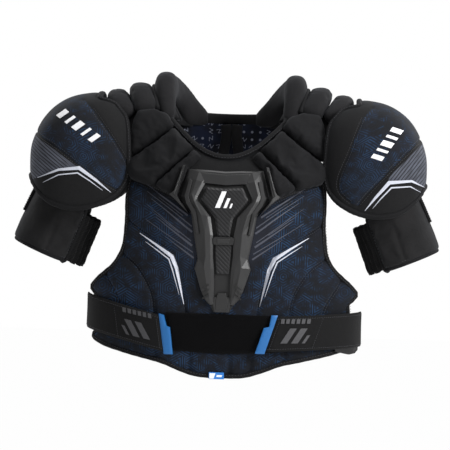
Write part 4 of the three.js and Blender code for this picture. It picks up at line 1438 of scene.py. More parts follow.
def strap_sheet(name, belt, front_x, phi_end, inner, outer, half, cols, rows, mat, wave):
    """strap from its front end to phi_end; front_x gives the end's x by height"""
    w = np.linspace(0, 1, rows)
    start = phi_at(front_x(belt_z(belt, 85.0) + (w - 0.5) * 2 * half))[:, None]
    phi = start + (phi_end - start) * np.linspace(0, 1, cols) ** 0.85
    w = w[:, None]
    x = around(phi, 0, 10, 1)[..., 0]
    z = belt_z(belt, x) + (w - 0.5) * 2 * half
    soft = wave * (np.sin(x * 0.055 + 0.8) * np.sin(w * 3.0) + 0.4 * np.sin(x * 0.17 + w * 2))
    edge = np.minimum(w, 1 - w) * 2 * half
    rounding = 0.9 * np.exp(-(edge / 1.3) ** 2)
    layers = [around(phi, z, outer + soft - rounding, belt["sign"]),
              around(phi, z, inner + soft * 0.5 + rounding, belt["sign"])]
    return sheet(name, layers, mat), phi, z, soft


def belt_slab(name, outline, step, sign, top, bottom, mat, smooth=False):
    points, tris = triangulate(outline, step)
    phi, z = phi_at(points[:, 0]), points[:, 1]
    return fix_out(slab(name, tris, around(phi, z, value_at(points, top), sign),
                        around(phi, z, bottom, sign), mat, smooth))


def belt_stitches(phi, z, off, sign, length, pitch):
    path = around(phi, z, off, sign)
    return stitches(path, around(phi, z, off + 1, sign) - path, length, pitch, radius=0.26)


def belt_marks(belt):
    """row of six short bars above three slanted blocks"""
    slope = belt["mark_slope"]
    outlines = []
    start_x, start_z = belt["bars"]
    for k in range(6):
        x = start_x + k * 7.0
        z = start_z + (x - start_x) * slope
        outlines.append([[x, z - 3.4], [x + 4.6, z - 3.4 + 4.6 * slope],
                         [x + 5.4, z + 3.4 + 4.6 * slope], [x + 0.8, z + 3.4]])
    mid_x, mid_z = belt["blocks"]
    for block in SLANT_BLOCKS:
        outlines.append([[mid_x + x, mid_z + z + x * slope] for x, z in block])
    return [belt_slab("mark", outline, 3.2, belt["sign"], STRAP_OUT + 0.75, STRAP_OUT - 0.5,
                      GREY_MARK) for outline in outlines]


def belly_strap(side, belt):
    sign = belt["sign"]
    strap, phi, z, soft = strap_sheet(
        "strap", belt, lambda height: belt_end_x(belt, height), STRAP_END_PHI,
        STRAP_IN, STRAP_OUT, half=25.8, cols=46, rows=15, mat=STRAP, wave=0.45)
    parts = [strap]
    for row in (1, 13):
        parts.append(belt_stitches(phi[row], z[row], STRAP_OUT + soft[row] + 0.02, sign,
                                   length=2.4, pitch=3.8))
    rise = np.linspace(-22, 22, 16)
    for from_end in (4.0, 62.0):
        x = belt_end_x(belt, belt_z(belt, 85.0) + rise) + from_end
        parts.append(belt_stitches(phi_at(x), belt_z(belt, x) + rise, STRAP_OUT + 0.15, sign,
                                   length=2.2, pitch=3.4))
    parts += belt_marks(belt)
    mount(join("belly_strap_" + side, parts), "belt_" + side, "webbing",
          "belt_strap_" + side)


def belly_tip(side, belt):
    """blue front end of the strap"""
    def top(points):
        edge = dist(points, belt["tip"], True)
        return STRAP_OUT + 0.7 - 0.7 * np.exp(-(edge / 0.7) ** 2)
    tip = belt_slab("belly_tip_" + side, belt["tip"], 2.6, belt["sign"], top, STRAP_IN - 0.4,
                    BLUE, smooth=True)
    bevel(tip, 0.35, angle=45)
    mount(tip, "belt_" + side, "blue_trim", "belt_tip_" + side)


def belly_hook(side, belt):
    """fuzzy patch on the inner face of the strap"""
    hook = strap_sheet("belly_hook_" + side, belt, lambda z: np.full(len(z), belt["hook_x"]),
                       phi_at(128), 10.2, 12.9, half=21.5, cols=12, rows=7, mat=LOOP,
                       wave=0.0)[0]
    mount(hook, "belt_" + side, "loop_fabric", "belt_hook_" + side)


def side_elastic(side, belt):
    """ribbed band from the side of the waist round to the back panel"""
    cols, rows = 40, 9
    u = np.linspace(0, 1, cols)
    w = np.linspace(-1, 1, rows)[:, None]
    phi = np.broadcast_to(0.16 - 0.82 * u, (rows, cols))
    mid_z = belt_z(belt, 224) - 3 * np.clip((u - 0.2) / 0.8, 0, 1)
    z = mid_z + w * (21 - 1.2 * np.sin(u * np.pi))
    wave = 0.45 * np.sin(np.arange(cols) * 1.9) * (1 - np.abs(w) * 0.3)
    layers = [around(phi, z, 12.2 + wave * np.clip((u - 0.24) / 0.1, 0, 1), belt["sign"]),
              around(phi, z, 9.2 + wave * 0.4, belt["sign"])]
    band = sheet("side_elastic_" + side, layers, ELASTIC)
    mount(band, "back", "webbing", "belt_elastic_" + side)


for side, belt in BELTS.items():
    belly_strap(side, belt)
    belly_tip(side, belt)
    belly_hook(side, belt)
    side_elastic(side, belt)

# ------------------------------------------------------------------ shoulder arches
# Rolls: name, carrier, |x| at the top and at the ends, half width, radius in z and in y,
# thickness, half angle in degrees
ARCH_ROLLS = [
    ("arch_roll_inner", "chest", 134.5, 118.5, 17.2, 92, 79, 26, 55),
    ("arch_roll_outer", "arch", 168.0, 151.5, 15.8, 81, 79, 25, 54)]


def arch_roll(name, carrier, top_x, end_x, half, radius_z, radius_y, thick, degrees):
    limit = math.radians(degrees)
    t = np.linspace(-limit, limit, 40)
    k = (np.abs(t) / limit) ** 2
    path = np.c_[-(top_x + (end_x - top_x) * k), (radius_y - thick / 2) * np.sin(t),
                 ARCH_Z + (radius_z - thick / 2) * np.cos(t)]
    up = np.c_[0 * t, np.sin(t) * radius_z, np.cos(t) * radius_y]
    reach = np.abs(t) / limit
    scale = ((1 - np.clip((reach - 0.78) / 0.22, 0, 1) ** 2.6 * 0.5)
             * (1 + 0.025 * np.sin(t * 9 + half)))
    roll = sweep(name + "_pad_right", path, up, ellipse(half * 1.04, thick / 2, 22, 2.25),
                 SOFT, scale=scale)
    puff(roll, voxel=4.2, pressure=3.0, frames=14, max_move=2.4, shrink=-0.06, bend=0.2)
    mount_pair(roll, carrier, "fabric_black", name)


def arch_piping():
    """narrow band between the collar and the inner roll"""
    limit = math.radians(52)
    t = np.linspace(-limit, limit, 40)
    k = (np.abs(t) / limit) ** 2
    path = np.c_[-(115.5 - 9 * k), 66 * np.sin(t), ARCH_Z + 82 * np.cos(t)]
    up = np.c_[0 * t, np.sin(t) * 80, np.cos(t) * 70]
    mount_pair(sweep("arch_piping_right", path, up, ellipse(4.2, 8.5, 14, 2.4), BINDING),
               "chest", "binding")


def shoulder_saddle():
    """curved pad under the rolls"""
    limit = math.radians(52)
    t = np.linspace(-limit, limit, 34)[:, None]
    u = np.linspace(0, 1, 12)
    rounding = 1.2 * grid_rim(34, 12)
    x = -147 + 61 * u + 12 * (np.abs(t) / limit) ** 2
    outer = stack3(x, (57 - rounding) * np.sin(t), ARCH_Z + (66 - rounding) * np.cos(t))
    y = (46 + rounding) * np.sin(t)
    z = ARCH_Z + (57 + rounding) * np.cos(t)
    inner = stack3(x, y, np.where(np.abs(y) < 21, np.maximum(z, 397.5), z))
    mount_pair(sheet("shoulder_saddle_right", [outer, inner], PAD), "chest", "foam_liner",
               "shoulder_yoke")


def soft_web(name, start, end, degrees, push, thick=3.5):
    """cloth between two bodies; start and end are (|x|, radius in z, radius in y)"""
    limit = math.radians(degrees)
    t = np.linspace(-limit, limit, 30)[:, None]
    u = np.linspace(0, 1, 10)
    sag = 2.0 * np.sin(u * math.pi)
    out_x, radius_z, radius_y = [a + (b - a) * u for a, b in zip(start, end)]
    x = -out_x + push * (np.abs(t) / limit) ** 2
    for side, sign in SIDES:
        layers = [stack3(sign * x, (radius_y - sag - inner) * np.sin(t),
                         ARCH_Z + (radius_z - sag - inner) * np.cos(t))
                  for inner in (0, thick)]
        web = sheet(name + "_" + side, layers, WEB_CLOTH)
        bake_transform(web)


for roll in ARCH_ROLLS:
    arch_roll(*roll)
arch_piping()
shoulder_saddle()
soft_web("arch_web", (134, 68, 66), (168, 62, 64), degrees=72, push=14)
soft_web("cap_web", (160, 62, 64), (196, 66, 66), degrees=56, push=10)

# ------------------------------------------------------------------ collar
# Stations from front to back: x, y, bottom z, top z, half thickness
COLLAR = curve([
    [-87, -57, 370, 388, 9], [-92, -45, 382, 418, 13], [-96, -28, 398, 441, 16],
    [-96.5, -6, 404, 448, 17], [-95.5, 18, 404, 446.5, 16.5], [-86, 42, 394, 441, 14.5],
    [-71, 60, 374, 428, 12.5], [-54, 71, 370, 409, 10.5], [-37, 77.5, 371, 391.5, 7.5]], 5.0)


def collar_normals():
    t = np.gradient(COLLAR[:, :2], axis=0)
    t /= np.linalg.norm(t, axis=1)[:, None]
    return np.c_[-t[:, 1], t[:, 0]]


COLLAR_NORMALS = collar_normals()


def collar_pad():
    count = len(COLLAR)
    section = ellipse(1, 1, 26, 2.9)
    verts = []
    for i in range(count):
        x, y, low, high, half = COLLAR[i]
        nearness = min(i, count - 1 - i) / 2.5
        scale = 1 - 0.45 * max(0, 1 - nearness) ** 2
        for u, w in section:
            taper = 1 - 0.12 * max(0, w)
            verts.append((x + COLLAR_NORMALS[i, 0] * u * half * scale * taper,
                          y + COLLAR_NORMALS[i, 1] * u * half * scale * taper,
                          (low + high) / 2 + w * (high - low) / 2 * (0.75 + 0.25 * scale)))
    pad = fix_out(make("collar_pad_right", np.array(verts), tube_faces(count, len(section)),
                       SOFT))
    puff(pad, voxel=4.2, pressure=2.2, frames=12, max_move=1.8, shrink=-0.05, bend=0.2)
    mount_pair(pad, "chest", "fabric_black", "collar")


def collar_foot():
    """cloth below the rear half of the collar, down to the saddle and the back yoke"""
    count, cols = len(COLLAR), 6
    used = ((COLLAR[:, 1] > 8) & (COLLAR[:, 1] < 69)
            & (np.arange(count) > count // 2 - 8))
    stations, normals = COLLAR[used], COLLAR_NORMALS[used]
    top = (stations[:, 2] + 8.0)[:, None]
    low = np.interp(stations[:, 1], [8, 20, 32, 44, 69],
                    [399.5, 397.5, 386.0, 371.0, 368.0])[:, None]
    z = top + (low - top) * np.linspace(0, 1, cols)
    half = 2.8 - 1.2 * grid_rim(len(stations), cols)
    layers = [stack3(stations[:, :1] + normals[:, :1] * half * sign,
                     stations[:, 1:2] + normals[:, 1:] * half * sign, z) for sign in (1, -1)]
    mount_pair(sheet("collar_foot_right", layers, PAD), "chest", "fabric_black")


def neck_y(x):
    """depth of the binding behind the neck"""
    return 79 + 3.5 * (1 - (x / 37) ** 2)


def neck_back_binding():
    x = np.linspace(-40, 40, 30)
    band = sweep("neck_back_binding", np.c_[x, neck_y(x), 380.8 + 0.8 * (x / 37) ** 2],
                 [0, 0, 1.0], ellipse(4.3, 7.9, 16, 2.8), BINDING)
    mount(band, "chest", "binding", "back_neck_binding")


collar_pad()
collar_foot()
neck_back_binding()

# ------------------------------------------------------------------ shoulder cap form
# A rounded bell; all cap pieces are drawn on the right shoulder
BELL_X, BELL_Y, BELL_Z = -212.0, -8.0, 324.0
BELL_RX, BELL_RY, BELL_RZ = 84.0, 104.0, 90.0
BELL_POWER = 2.8
RAY_START = np.array([BELL_X, BELL_Y, 300.0])
# Flat map of the bell: azimuthal round MAP_AXIS, scaled by MAP_RADIUS
MAP_AXIS = np.array([-0.80, 0, 0.60])
MAP_U = np.array([0.0, 1.0, 0.0])
MAP_V = np.cross(MAP_AXIS, MAP_U)
MAP_V /= np.linalg.norm(MAP_V)
MAP_RADIUS = 95.0


def bell_taper(rise, depth, limit):
    """shrink of the bell's two half widths at a height above its shoulder line"""
    t = np.clip(rise / (BELL_RZ - depth), 0, limit)
    low = 1 - 0.16 * (np.minimum(rise, 0) / 100) ** 2
    return [np.where(rise > 0, (1 - t ** power) ** (1 / power), low) for power in (2.1, 2.6)]


def bell_rise(x, z):
    return z - 0.12 * (x - BELL_X) - BELL_Z


def bell_value(points, depth):
    """negative inside the bell shrunk by depth"""
    x, y, z = points[..., 0], points[..., 1], points[..., 2]
    rise = bell_rise(x, z)
    taper_x, taper_y = bell_taper(rise, depth, 0.9999)
    value = (np.abs((x - BELL_X) / ((BELL_RX - depth) * taper_x)) ** BELL_POWER
             + np.abs((y - BELL_Y) / ((BELL_RY - depth) * taper_y)) ** BELL_POWER - 1)
    return np.where(rise >= (BELL_RZ - depth), 5.0, value)


def bisect(low, high, rounds, value):
    for _ in range(rounds):
        mid = (low + high) / 2
        result = value(mid)
        low, high = np.where(result < 0, mid, low), np.where(result < 0, high, mid)
    return low


def bell_ray(rays, depth):
    """where rays from the middle meet the bell shrunk by depth"""
    count = len(rays)
    depth = np.broadcast_to(depth, (count,))
    reach = bisect(np.full(count, 5.0), np.full(count, 190.0), 40,
                   lambda mid: bell_value(RAY_START + rays * mid[:, None], depth))
    return RAY_START + rays * reach[:, None]


def bell_front_y(x, z, depth):
    x, z = np.asarray(x, float), np.asarray(z, float)
    taper_x, taper_y = bell_taper(bell_rise(x, z), depth, 0.995)
    ratio = np.clip(np.abs((x - BELL_X) / ((BELL_RX - depth) * taper_x)), 0, 0.9995)
    return (BELL_Y - (BELL_RY - depth) * taper_y
            * (1 - ratio ** BELL_POWER) ** (1 / BELL_POWER))


def bell_top_z(x, y):
    return bisect(np.full(x.shape, 300.0), np.full(x.shape, 425.0), 36,
                  lambda mid: bell_value(np.stack([x, y, mid], -1), 0.0))


def to_map(points):
    rays = points - RAY_START
    rays = rays / np.linalg.norm(rays, axis=1)[:, None]
    angle = np.arccos(np.clip(rays @ MAP_AXIS, -1, 1))
    u, v = rays @ MAP_U, rays @ MAP_V
    size = np.hypot(u, v) + 1e-12
    return np.c_[u / size, v / size] * angle[:, None] * MAP_RADIUS


def map_ray(places):
    size = np.hypot(places[:, 0], places[:, 1])
    angle = size / MAP_RADIUS
    k = np.where(size > 1e-9, np.sin(angle) / np.maximum(size, 1e-9), 0)
    return (MAP_AXIS * np.cos(angle)[:, None] + MAP_U * (places[:, 0] * k)[:, None]
            + MAP_V * (places[:, 1] * k)[:, None])


def front_ray(points):
    """front surface points at (x, z) and the rays to them"""
    x, z = points[:, 0], points[:, 1]
    surface = np.c_[x, bell_front_y(x, z, 0.3), z]
    rays = surface - RAY_START
    return surface, rays / np.linalg.norm(rays, axis=1)[:, None]


# Front edge of the cap in (x, z), from the top inner corner down and round to the outer side
CAP_RIM = curve([
    [-160, 392], [-150, 378], [-146, 360], [-144, 330], [-144, 304], [-148, 282], [-158, 266],
    [-170, 256], [-187, 247], [-207, 241.5], [-233, 240.7], [-258, 247], [-277, 261],
    [-288, 275], [-291.5, 281.5]], 3.0)


def cap_outline():
    """edge of the cap on the flat map, counter-clockwise"""
    front = np.c_[CAP_RIM[:, 0], bell_front_y(CAP_RIM[:, 0], CAP_RIM[:, 1], 0.0),
                  CAP_RIM[:, 1]]
    # step in the top edge, in (x, y)
    top = [(-162.0 - (y + 71) * 0.6, y) for y in (-69, -66.5)]
    top += [(x, -66.0) for x in np.arange(-168, -187, -3.5)]
    top += [(-188.5, y) for y in np.arange(-64, -8, 4.0)]
    top = np.array(top, float)
    top = np.c_[top, bell_top_z(top[:, 0], top[:, 1])]
    front_half = np.vstack([top[::-1], front])
    back_half = front_half[::-1].copy()
    back_half[:, 1] = 2 * BELL_Y - back_half[:, 1]
    loop = to_map(np.vstack([front_half, [[-294.6, BELL_Y, 286.5]], back_half]))
    loop = curve(loop, 3.2, True)
    area = np.sum(loop[:, 0] * np.roll(loop[:, 1], -1) - np.roll(loop[:, 0], -1) * loop[:, 1])
    return loop if area > 0 else loop[::-1]


CAP_LOOP = cap_outline()

# ------------------------------------------------------------------ shoulder cap cover
# Drawing of each cap in front view (x, z), both as a right-hand cap: the upper and lower
# seams, two chevrons, the grey and navy zones, and the row of white bars
CAP_ART = {
    "right": dict(
        upper=[[-216.6, 404.6], [-196, 384.2], [-164.9, 341.6], [-147.8, 312.1],
               [-145.2, 291.1], [-153.7, 275]],
        lower=[[-310, 372], [-280.9, 350.1], [-251.5, 332.4], [-221.1, 309.9],
               [-188, 286.9], [-158, 270.5]],
        chevron=[[-278.8, 286.3], [-246.8, 299.1], [-217, 302.5], [-192, 285.5],
                 [-170, 267.9]],
        chevron_widths=[0.6, 3.4, 5.2, 3.6, 0.5],
        thin=[[-270, 279.8], [-247, 291.6], [-219, 295.2], [-200, 283.5], [-182, 270.5]],
        grey=[[-310, 365], [-284, 346.5], [-254, 328], [-229, 310.5], [-218, 302.8],
              [-246.8, 299.4], [-278.8, 286.8], [-310, 276]],
        navy=[[-216.6, 404.6], [-196, 384.2], [-164.9, 341.6], [-147.8, 312.1],
              [-145.2, 291], [-153.7, 275], [-158, 270.5], [-188, 286.9], [-221.1, 309.9],
              [-251.5, 332.4], [-280.9, 350.1], [-340, 385], [-340, 450], [-216, 450]],
        bars=dict(start=[-251, 385], end=[-190, 343], height=15.5, skew=2.6,
                  widths=[7.2, 4.0, 8.6, 4.0, 7.2])),
    "left": dict(
        upper=[[-213.6, 404.7], [-199.1, 387.5], [-181.9, 340.3], [-166.3, 298.9],
               [-168.2, 278.4], [-186, 262]],
        lower=[[-306, 380], [-278.8, 352.5], [-240.8, 312.2], [-212, 280], [-195, 259]],
        chevron=[[-292, 288.6], [-272.9, 297.5], [-240.3, 294.5], [-221, 272],
                 [-206.1, 252.5]],
        chevron_widths=[0.6, 3.2, 5.2, 3.6, 0.5],
        thin=[[-286, 281.5], [-271, 289.6], [-243.6, 287.2], [-228, 270], [-217, 256.0]],
        grey=[[-310, 374], [-283, 348], [-246.5, 309.5], [-238.5, 299.5], [-241.3, 295.4],
              [-272.9, 298.4], [-292, 289.4], [-320, 276], [-320, 380]],
        navy=[[-213.6, 404.7], [-199.1, 387.5], [-181.9, 340.3], [-166.3, 298.9],
              [-168.2, 278.4], [-186, 262], [-195, 259], [-212, 280], [-240.8, 312.2],
              [-278.8, 352.5], [-340, 412], [-340, 450], [-213, 450]],
        bars=dict(start=[-219, 326], end=[-252, 375], height=16.0, skew=-2.6,
                  widths=[7.2, 4.0, 8.6, 4.0, 7.0])),
}
THIN_WIDTHS = [0.4, 1.5, 2.0, 1.4, 0.3]


def cap_depth(surface, art):
    """depth of the cloth below the bell, with grooves at the seams"""
    d = nearest(surface[:, [0, 2]], [curve(art["upper"], 4), curve(art["lower"], 4)])
    depth = 0.3 + 2.0 * np.exp(-(d / 2.0) ** 2) - 0.9 * (1 - np.exp(-(d / 16) ** 2))
    return depth - ripple(surface[:, [1, 2]], 0.35)


def cap_decal(outline, mat, art, thick):
    points, tris = triangulate(outline, 2.8)
    surface, rays = front_ray(points)
    depth = cap_depth(surface, art)
    return fix_out(slab("decal", tris, bell_ray(rays, depth - 0.25 - thick),
                        bell_ray(rays, depth + 0.5), mat, smooth=False))


def slanted_bars(start, end, height, skew, widths):
    """outlines of bars spaced evenly from start to end"""
    start, end = np.array(start, float), np.array(end, float)
    a = (end - start) / np.linalg.norm(end - start)
    b = np.array([-a[1], a[0]])
    if b[1] < 0:
        b = -b
    length = np.linalg.norm(end - start)
    bars = []
    for i, w in enumerate(widths):
        c = start + a * (length * (i + 0.5) / len(widths))
        bars.append([c - a * w / 2 - b * height / 2 - a * skew,
                     c + a * w / 2 - b * height / 2 - a * skew,
                     c + a * w / 2 + b * height / 2 + a * skew,
                     c - a * w / 2 + b * height / 2 + a * skew])
    return bars


def cap_thread(art):
    """thread on both sides of the two seams, where they show on the front"""
    area = np.vstack([CAP_RIM, [[-310, 300], [-310, 440], [-160, 440]]])
    rows = []
    for seam in (art["upper"], art["lower"]):
        for gap in (2.4, -2.4):
            line = parallel(curve(seam, 3.0), gap)
            shown = np.nonzero((line[:, 0] > -284) & inside(line, area)
                               & (line[:, 1] < 392))[0]
            if len(shown) < 5:
                continue
            rays = front_ray(line[shown[0]:shown[-1] + 1])[1]
            rows.append(stitches(bell_ray(rays, 0.7), rays, length=2.4, pitch=3.9,
                                 radius=0.28))
    return rows


def cap_cover(side, points, tris, edge):
    art = CAP_ART[side]
    rays = map_ray(points)
    depth = cap_depth(bell_ray(rays, 0.0), art) + 1.2 * np.exp(-(edge / 5.0) ** 2)
    top = bell_ray(rays, depth)
    cover = fix_out(slab("cover", tris, top, bell_ray(rays, 6.4), CAP_PRINT))
    flat = top[:, [0, 2]]
    set_field(cover, "z_navy", signed_dist(flat, art["navy"]))
    set_field(cover, "z_grey", signed_dist(flat, art["grey"]))
    # the grey stripes run along the lower seam
    along = np.array(art["lower"][2]) - np.array(art["lower"][1])
    along = along / np.linalg.norm(along)
    across = np.array([-along[1], along[0]])
    set_field(cover, "grey_u", flat @ across * 1.9 + (flat @ along) * 0.22)
    set_field(cover, "grey_fade", np.clip((-238 - flat[:, 0]) / 18 + 0.6, 0, 1))
    set_pattern_place(cover, points)
    parts = [cover]
    for line, widths in ((art["chevron"], art["chevron_widths"]), (art["thin"], THIN_WIDTHS)):
        parts.append(cap_decal(ribbon(line, widths), SILVER, art, thick=0.5))
    for bar in slanted_bars(**art["bars"]):
        parts.append(cap_decal(bar, WHITE, art, thick=0.6))
    cover = join("cap_shell_cover_" + side, parts + cap_thread(art))
    if side == "left":
        flip_x(cover.data)
    mount(cover, "cap_" + side, "fabric_navy", "cap_cover_" + side)


def cap_covers():
    outline = inset(CAP_LOOP, 3.0)
    points, tris = triangulate(outline, by_speed(3.3))
    edge = dist(points, outline, True)
    for side in CAP_ART:
        cap_cover(side, points, tris, edge)


def cap_piping():
    """thick rolled edge with a row of thread"""
    rays = map_ray(curve(inset(CAP_LOOP, 3.2), 4.0, True))
    steps = np.arange(len(rays))
    wobble = 1 + 0.035 * np.sin(steps * 1.9) + 0.02 * np.sin(steps * 0.7)
    tape = sweep("tape", bell_ray(rays, 2.6), bell_ray(rays, 0.0) - bell_ray(rays, 6.0),
                 ellipse(4.4, 5.6, 14, 2.5), BINDING, True, wobble)
    rays = map_ray(curve(inset(CAP_LOOP, 5.0), 3.0, True))
    path = bell_ray(rays, -2.2)
    row = stitches(path, path - bell_ray(rays, 4.0), length=2.6, pitch=4.4, radius=0.3)
    mount_pair(join("cap_piping_right", [tape, row]), "cap", "binding", "cap_binding")


def cap_lining():
    """inner foam, quilted in channels 34 mm apart"""
    outline = inset(CAP_LOOP, 8.5)
    points, tris = triangulate(outline, 6.5)
    rays = map_ray(points)
    channel = np.abs(((points[:, 0] + 200) % 34) - 17)
    puffed = pillow(np.minimum(dist(points, outline, True), channel * 0.9 + 1.2), 9)
    lining = fix_out(slab("cap_lining_right", tris, bell_ray(rays, 6.0),
                          bell_ray(rays, 9.0 + 6.5 * puffed), LINER))
    mount_pair(lining, "cap", "foam_liner", "cap_liner", "cap_insert")


cap_covers()
cap_piping()
cap_lining()

# ------------------------------------------------------------------ biceps cuffs
CUFF_TILT = math.radians(22.7)
CUFF_FOOT = np.array([-268, -6, 173.0])
CUFF_AXIS = np.array([math.sin(CUFF_TILT), 0, math.cos(CUFF_TILT)])
CUFF_OUT = np.array([-math.cos(CUFF_TILT), 0, math.sin(CUFF_TILT)])
CUFF_RADIUS = 55.0                        # turns arc length into angle
PAD_REACH = math.radians(128) * CUFF_RADIUS
PAD_SEAM = 84                             # arc length to the two upright seams
# Pad outline in (arc length from the outer side, height)
CUFF_PAD = np.array([
    [-PAD_REACH, 5], [-PAD_REACH * 0.93, 0.8], [-PAD_REACH * 0.6, 0], [0, 0],
    [PAD_REACH * 0.6, 0], [PAD_REACH * 0.93, 0.8], [PAD_REACH, 5], [PAD_REACH, 78],
    [PAD_REACH * 0.9, 88], [PAD_REACH * 0.6, 94], [0, 96], [-PAD_REACH * 0.6, 94],
    [-PAD_REACH * 0.9, 88], [-PAD_REACH, 78]], float)


def cuff_point(angle, height, depth):
    angle, height, depth = np.broadcast_arrays(np.asarray(angle, float),
                                               np.asarray(height, float),
                                               np.asarray(depth, float))
    taper = 1 + 0.05 * (1 - height / 86)
    radius_out, radius_y = 54 * taper - depth, 57 * taper - depth
    return (CUFF_FOOT + CUFF_AXIS * height[..., None]
            + CUFF_OUT * (radius_out * np.cos(angle))[..., None]
            + np.array([0, 1.0, 0]) * (radius_y * np.sin(angle))[..., None])


def on_cuff(points, depth):
    return cuff_point(points[:, 0] / CUFF_RADIUS, points[:, 1], depth)


def cuff_top(points):
    edge = dist(points, CUFF_PAD, True)
    seam = np.minimum(np.abs(points[:, 0] + PAD_SEAM), np.abs(points[:, 0] - PAD_SEAM))
    return (1.6 + 4.4 * (1 - pillow(edge, 13)) + 1.6 * np.exp(-(seam / 2.0) ** 2)
            - ripple(points, 0.9))


def biceps_pad():
    seams = [np.array([[x, 4], [x, 82]], float) for x in (-PAD_SEAM, PAD_SEAM)]
    points, tris = triangulate(CUFF_PAD, by_speed(4.6), seams)
    edge = dist(points, CUFF_PAD, True)
    pad = fix_out(slab("pad", tris, on_cuff(points, cuff_top(points)),
                       on_cuff(points, 12.4 - 3.2 * (1 - pillow(edge, 8))), ARM_PAD))
    puff(pad, pressure=2.4, frames=18, max_move=3.2, shrink=-0.08, bend=0.15,
         pins=pin_weights(edge < 1.0))
    line = curve(inset(CUFF_PAD, 1.4), 4.0, True)
    path = on_cuff(line, 7.4)
    tape = sweep("edge", path, on_cuff(line, 0.0) - path, ellipse(3.4, 5.6, 12, 2.6),
                 BINDING, True)
    line = curve(inset(CUFF_PAD, 5.6), 3.0, True)
    path = on_cuff(line, cuff_top(line) - by_speed(1.4))
    row = stitches(path, path - on_cuff(line, 12.0), length=2.6, pitch=4.4, radius=0.3)
    mount_pair(join("biceps_pad_right", [pad, tape, row]), "bicep", "fabric_black",
               "bicep_pad", "bicep_insert")


def gathered_elastic():
    """gathered band on the inner side of the cuff"""
    span = np.radians(np.linspace(124, 236, 96))
    angle, height = np.meshgrid(span, np.linspace(2.5, 76, 16))
    degrees = np.degrees(angle)
    middle = np.sin(np.pi * (angle - span[0]) / (span[-1] - span[0])) ** 0.5
    ruffle = 2.3 * np.sin(degrees * 0.62 + 0.8 * np.sin(height * 0.12)) * middle
    ruffle += 0.7 * np.sin(degrees * 1.7 + height * 0.21)
    rounding = 1.2 * np.exp(-np.minimum(height - 2.5, 76 - height) / 2.0)
    wavy = height + 0.8 * np.sin(degrees * 0.31)
    layers = [cuff_point(angle, wavy, 1.6 + rounding - ruffle),
              cuff_point(angle, wavy, 5.6 - rounding * 0.6 - ruffle * 0.8)]
    mount_pair(sheet("gathered_elastic_right", layers, ELASTIC), "bicep", "webbing",
               "bicep_elastic")


def hanger_strap():
    """wide webbing from the cap to the outer side of the cuff"""
    heights = np.array([84, 74, 62, 50, 44], float)
    path = curve(np.vstack([[-287.0, -6, 284.0], cuff_point(0, heights, -1.6)]), 3.0)
    half_thick = 3.0
    parts = [sweep("strap", path, CUFF_OUT, ellipse(15.0, half_thick, 20, 5.0), STRAP)]
    sides, ups = frames_along(path, CUFF_OUT)
    for shift in (-12.0, 12.0):
        parts.append(stitches(path + sides * shift + ups * half_thick, ups,
                              length=2.2, pitch=3.6, radius=0.26))
    mount_pair(join("hanger_strap_right", parts), "hanger", "webbing", "bicep_hanger")


biceps_pad()
gathered_elastic()
hanger_strap()

# ------------------------------------------------------------------ back panel
BACK_PANEL = close_sym([
    [0, 26], [-40, 27], [-90, 34], [-140, 44], [-170, 52], [-182, 62], [-183, 106],
    [-178, 130], [-160, 152], [-149, 178], [-144, 215], [-140, 262], [-131, 290],
    [-127, 330], [-120, 350], [-106, 362], [-60, 366], [0, 362]])
BACK_SEAMS = [curve(seam, 4.0) for seam in (
    [[-146, 205], [-100, 190], [-58, 150]], [[-168, 132], [-120, 70], [-110, 42]],
    [[-138, 280], [-100, 300], [-62, 345]])]
BACK_SEAMS += [mirror_x(seam) for seam in BACK_SEAMS]


def back_top(points):
    d = nearest(points, BACK_SEAMS)
    edge = dist(points, BACK_PANEL, True)
    return np.clip(6.2 - 2.2 * np.exp(-(d / 2.1) ** 2) + ripple(points, 0.6)
                   - 2.0 * np.exp(-(edge / 7) ** 2), 2, 7.4)


def back_quilt():
    area = inset(BACK_PANEL, 6)
    quilt, points, _ = torso_slab(
        "back_quilt", inset(BACK_PANEL, 2.6), by_speed(5.0), BACK, back_top, 0.0,
        CHEST_PRINT, [seam[inside(seam, area)] for seam in BACK_SEAMS])
    set_pattern_place(quilt, points)
    black = [[-200, 330], [200, 330], [200, 420], [-200, 420]]
    set_field(quilt, "bib", signed_dist(points, black))
    set_field(quilt, "shade", np.zeros(len(points)))
    mount(quilt, "back", "fabric_navy", "back_panel")


def back_lining():
    outline = inset(BACK_PANEL, 18)
    lines = [np.array([[x, 50], [x, 320]], float) for x in (-100, -54, 54, 100)]
    lining = torso_slab("back_lining", outline, by_speed(6), BACK, -1.0,
                        quilted(outline, lines, base=-6.0, depth=6.6), LINER, lines)[0]
    mount(lining, "back", "foam_liner", "back_liner")


def neck_wall_y(x, rise):
    """front face from the lining (rise 0) up to the neck binding (rise 1)"""
    flat_x = x.ravel()
    low = onto(np.c_[flat_x, np.full(len(flat_x), 322.0)], -14.0, BACK)[:, 1].reshape(x.shape)
    ease = rise * rise * (3 - 2 * rise)
    return low + (neck_y(x) - 2.2 - low) * ease


def neck_back_panel():
    """padded panel behind the neck with two soft upright ribs"""
    rows, cols = 26, 46
    rise = np.linspace(0, 1, rows)[:, None]
    x = np.linspace(-1, 1, cols) * (104 - 43 * rise ** 1.5)
    y = neck_wall_y(x, rise) - 0.8 * np.sin(x * 0.09) * np.sin(rise * 3.1)
    z = 322 + 59 * rise
    rounding = 1.2 * grid_rim(rows, cols)
    parts = [sheet("panel", [stack3(x, y + rounding, z), stack3(x, y + 5.5 - rounding, z)],
                   LINER)]
    rise = np.linspace(0.02, 0.86, 26)
    for sign in (-1, 1):
        x = sign * (9.8 + 2.2 * np.cos(rise * 5.0))
        path = np.c_[x, neck_wall_y(x, rise) - 1.2, 322 + 59 * rise]
        parts.append(sweep("rib", path, [0, -1.0, 0], ellipse(8.0, 5.0, 18, 2.1), SOFT))
    panel = join("neck_back_panel", parts)
    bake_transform(panel)


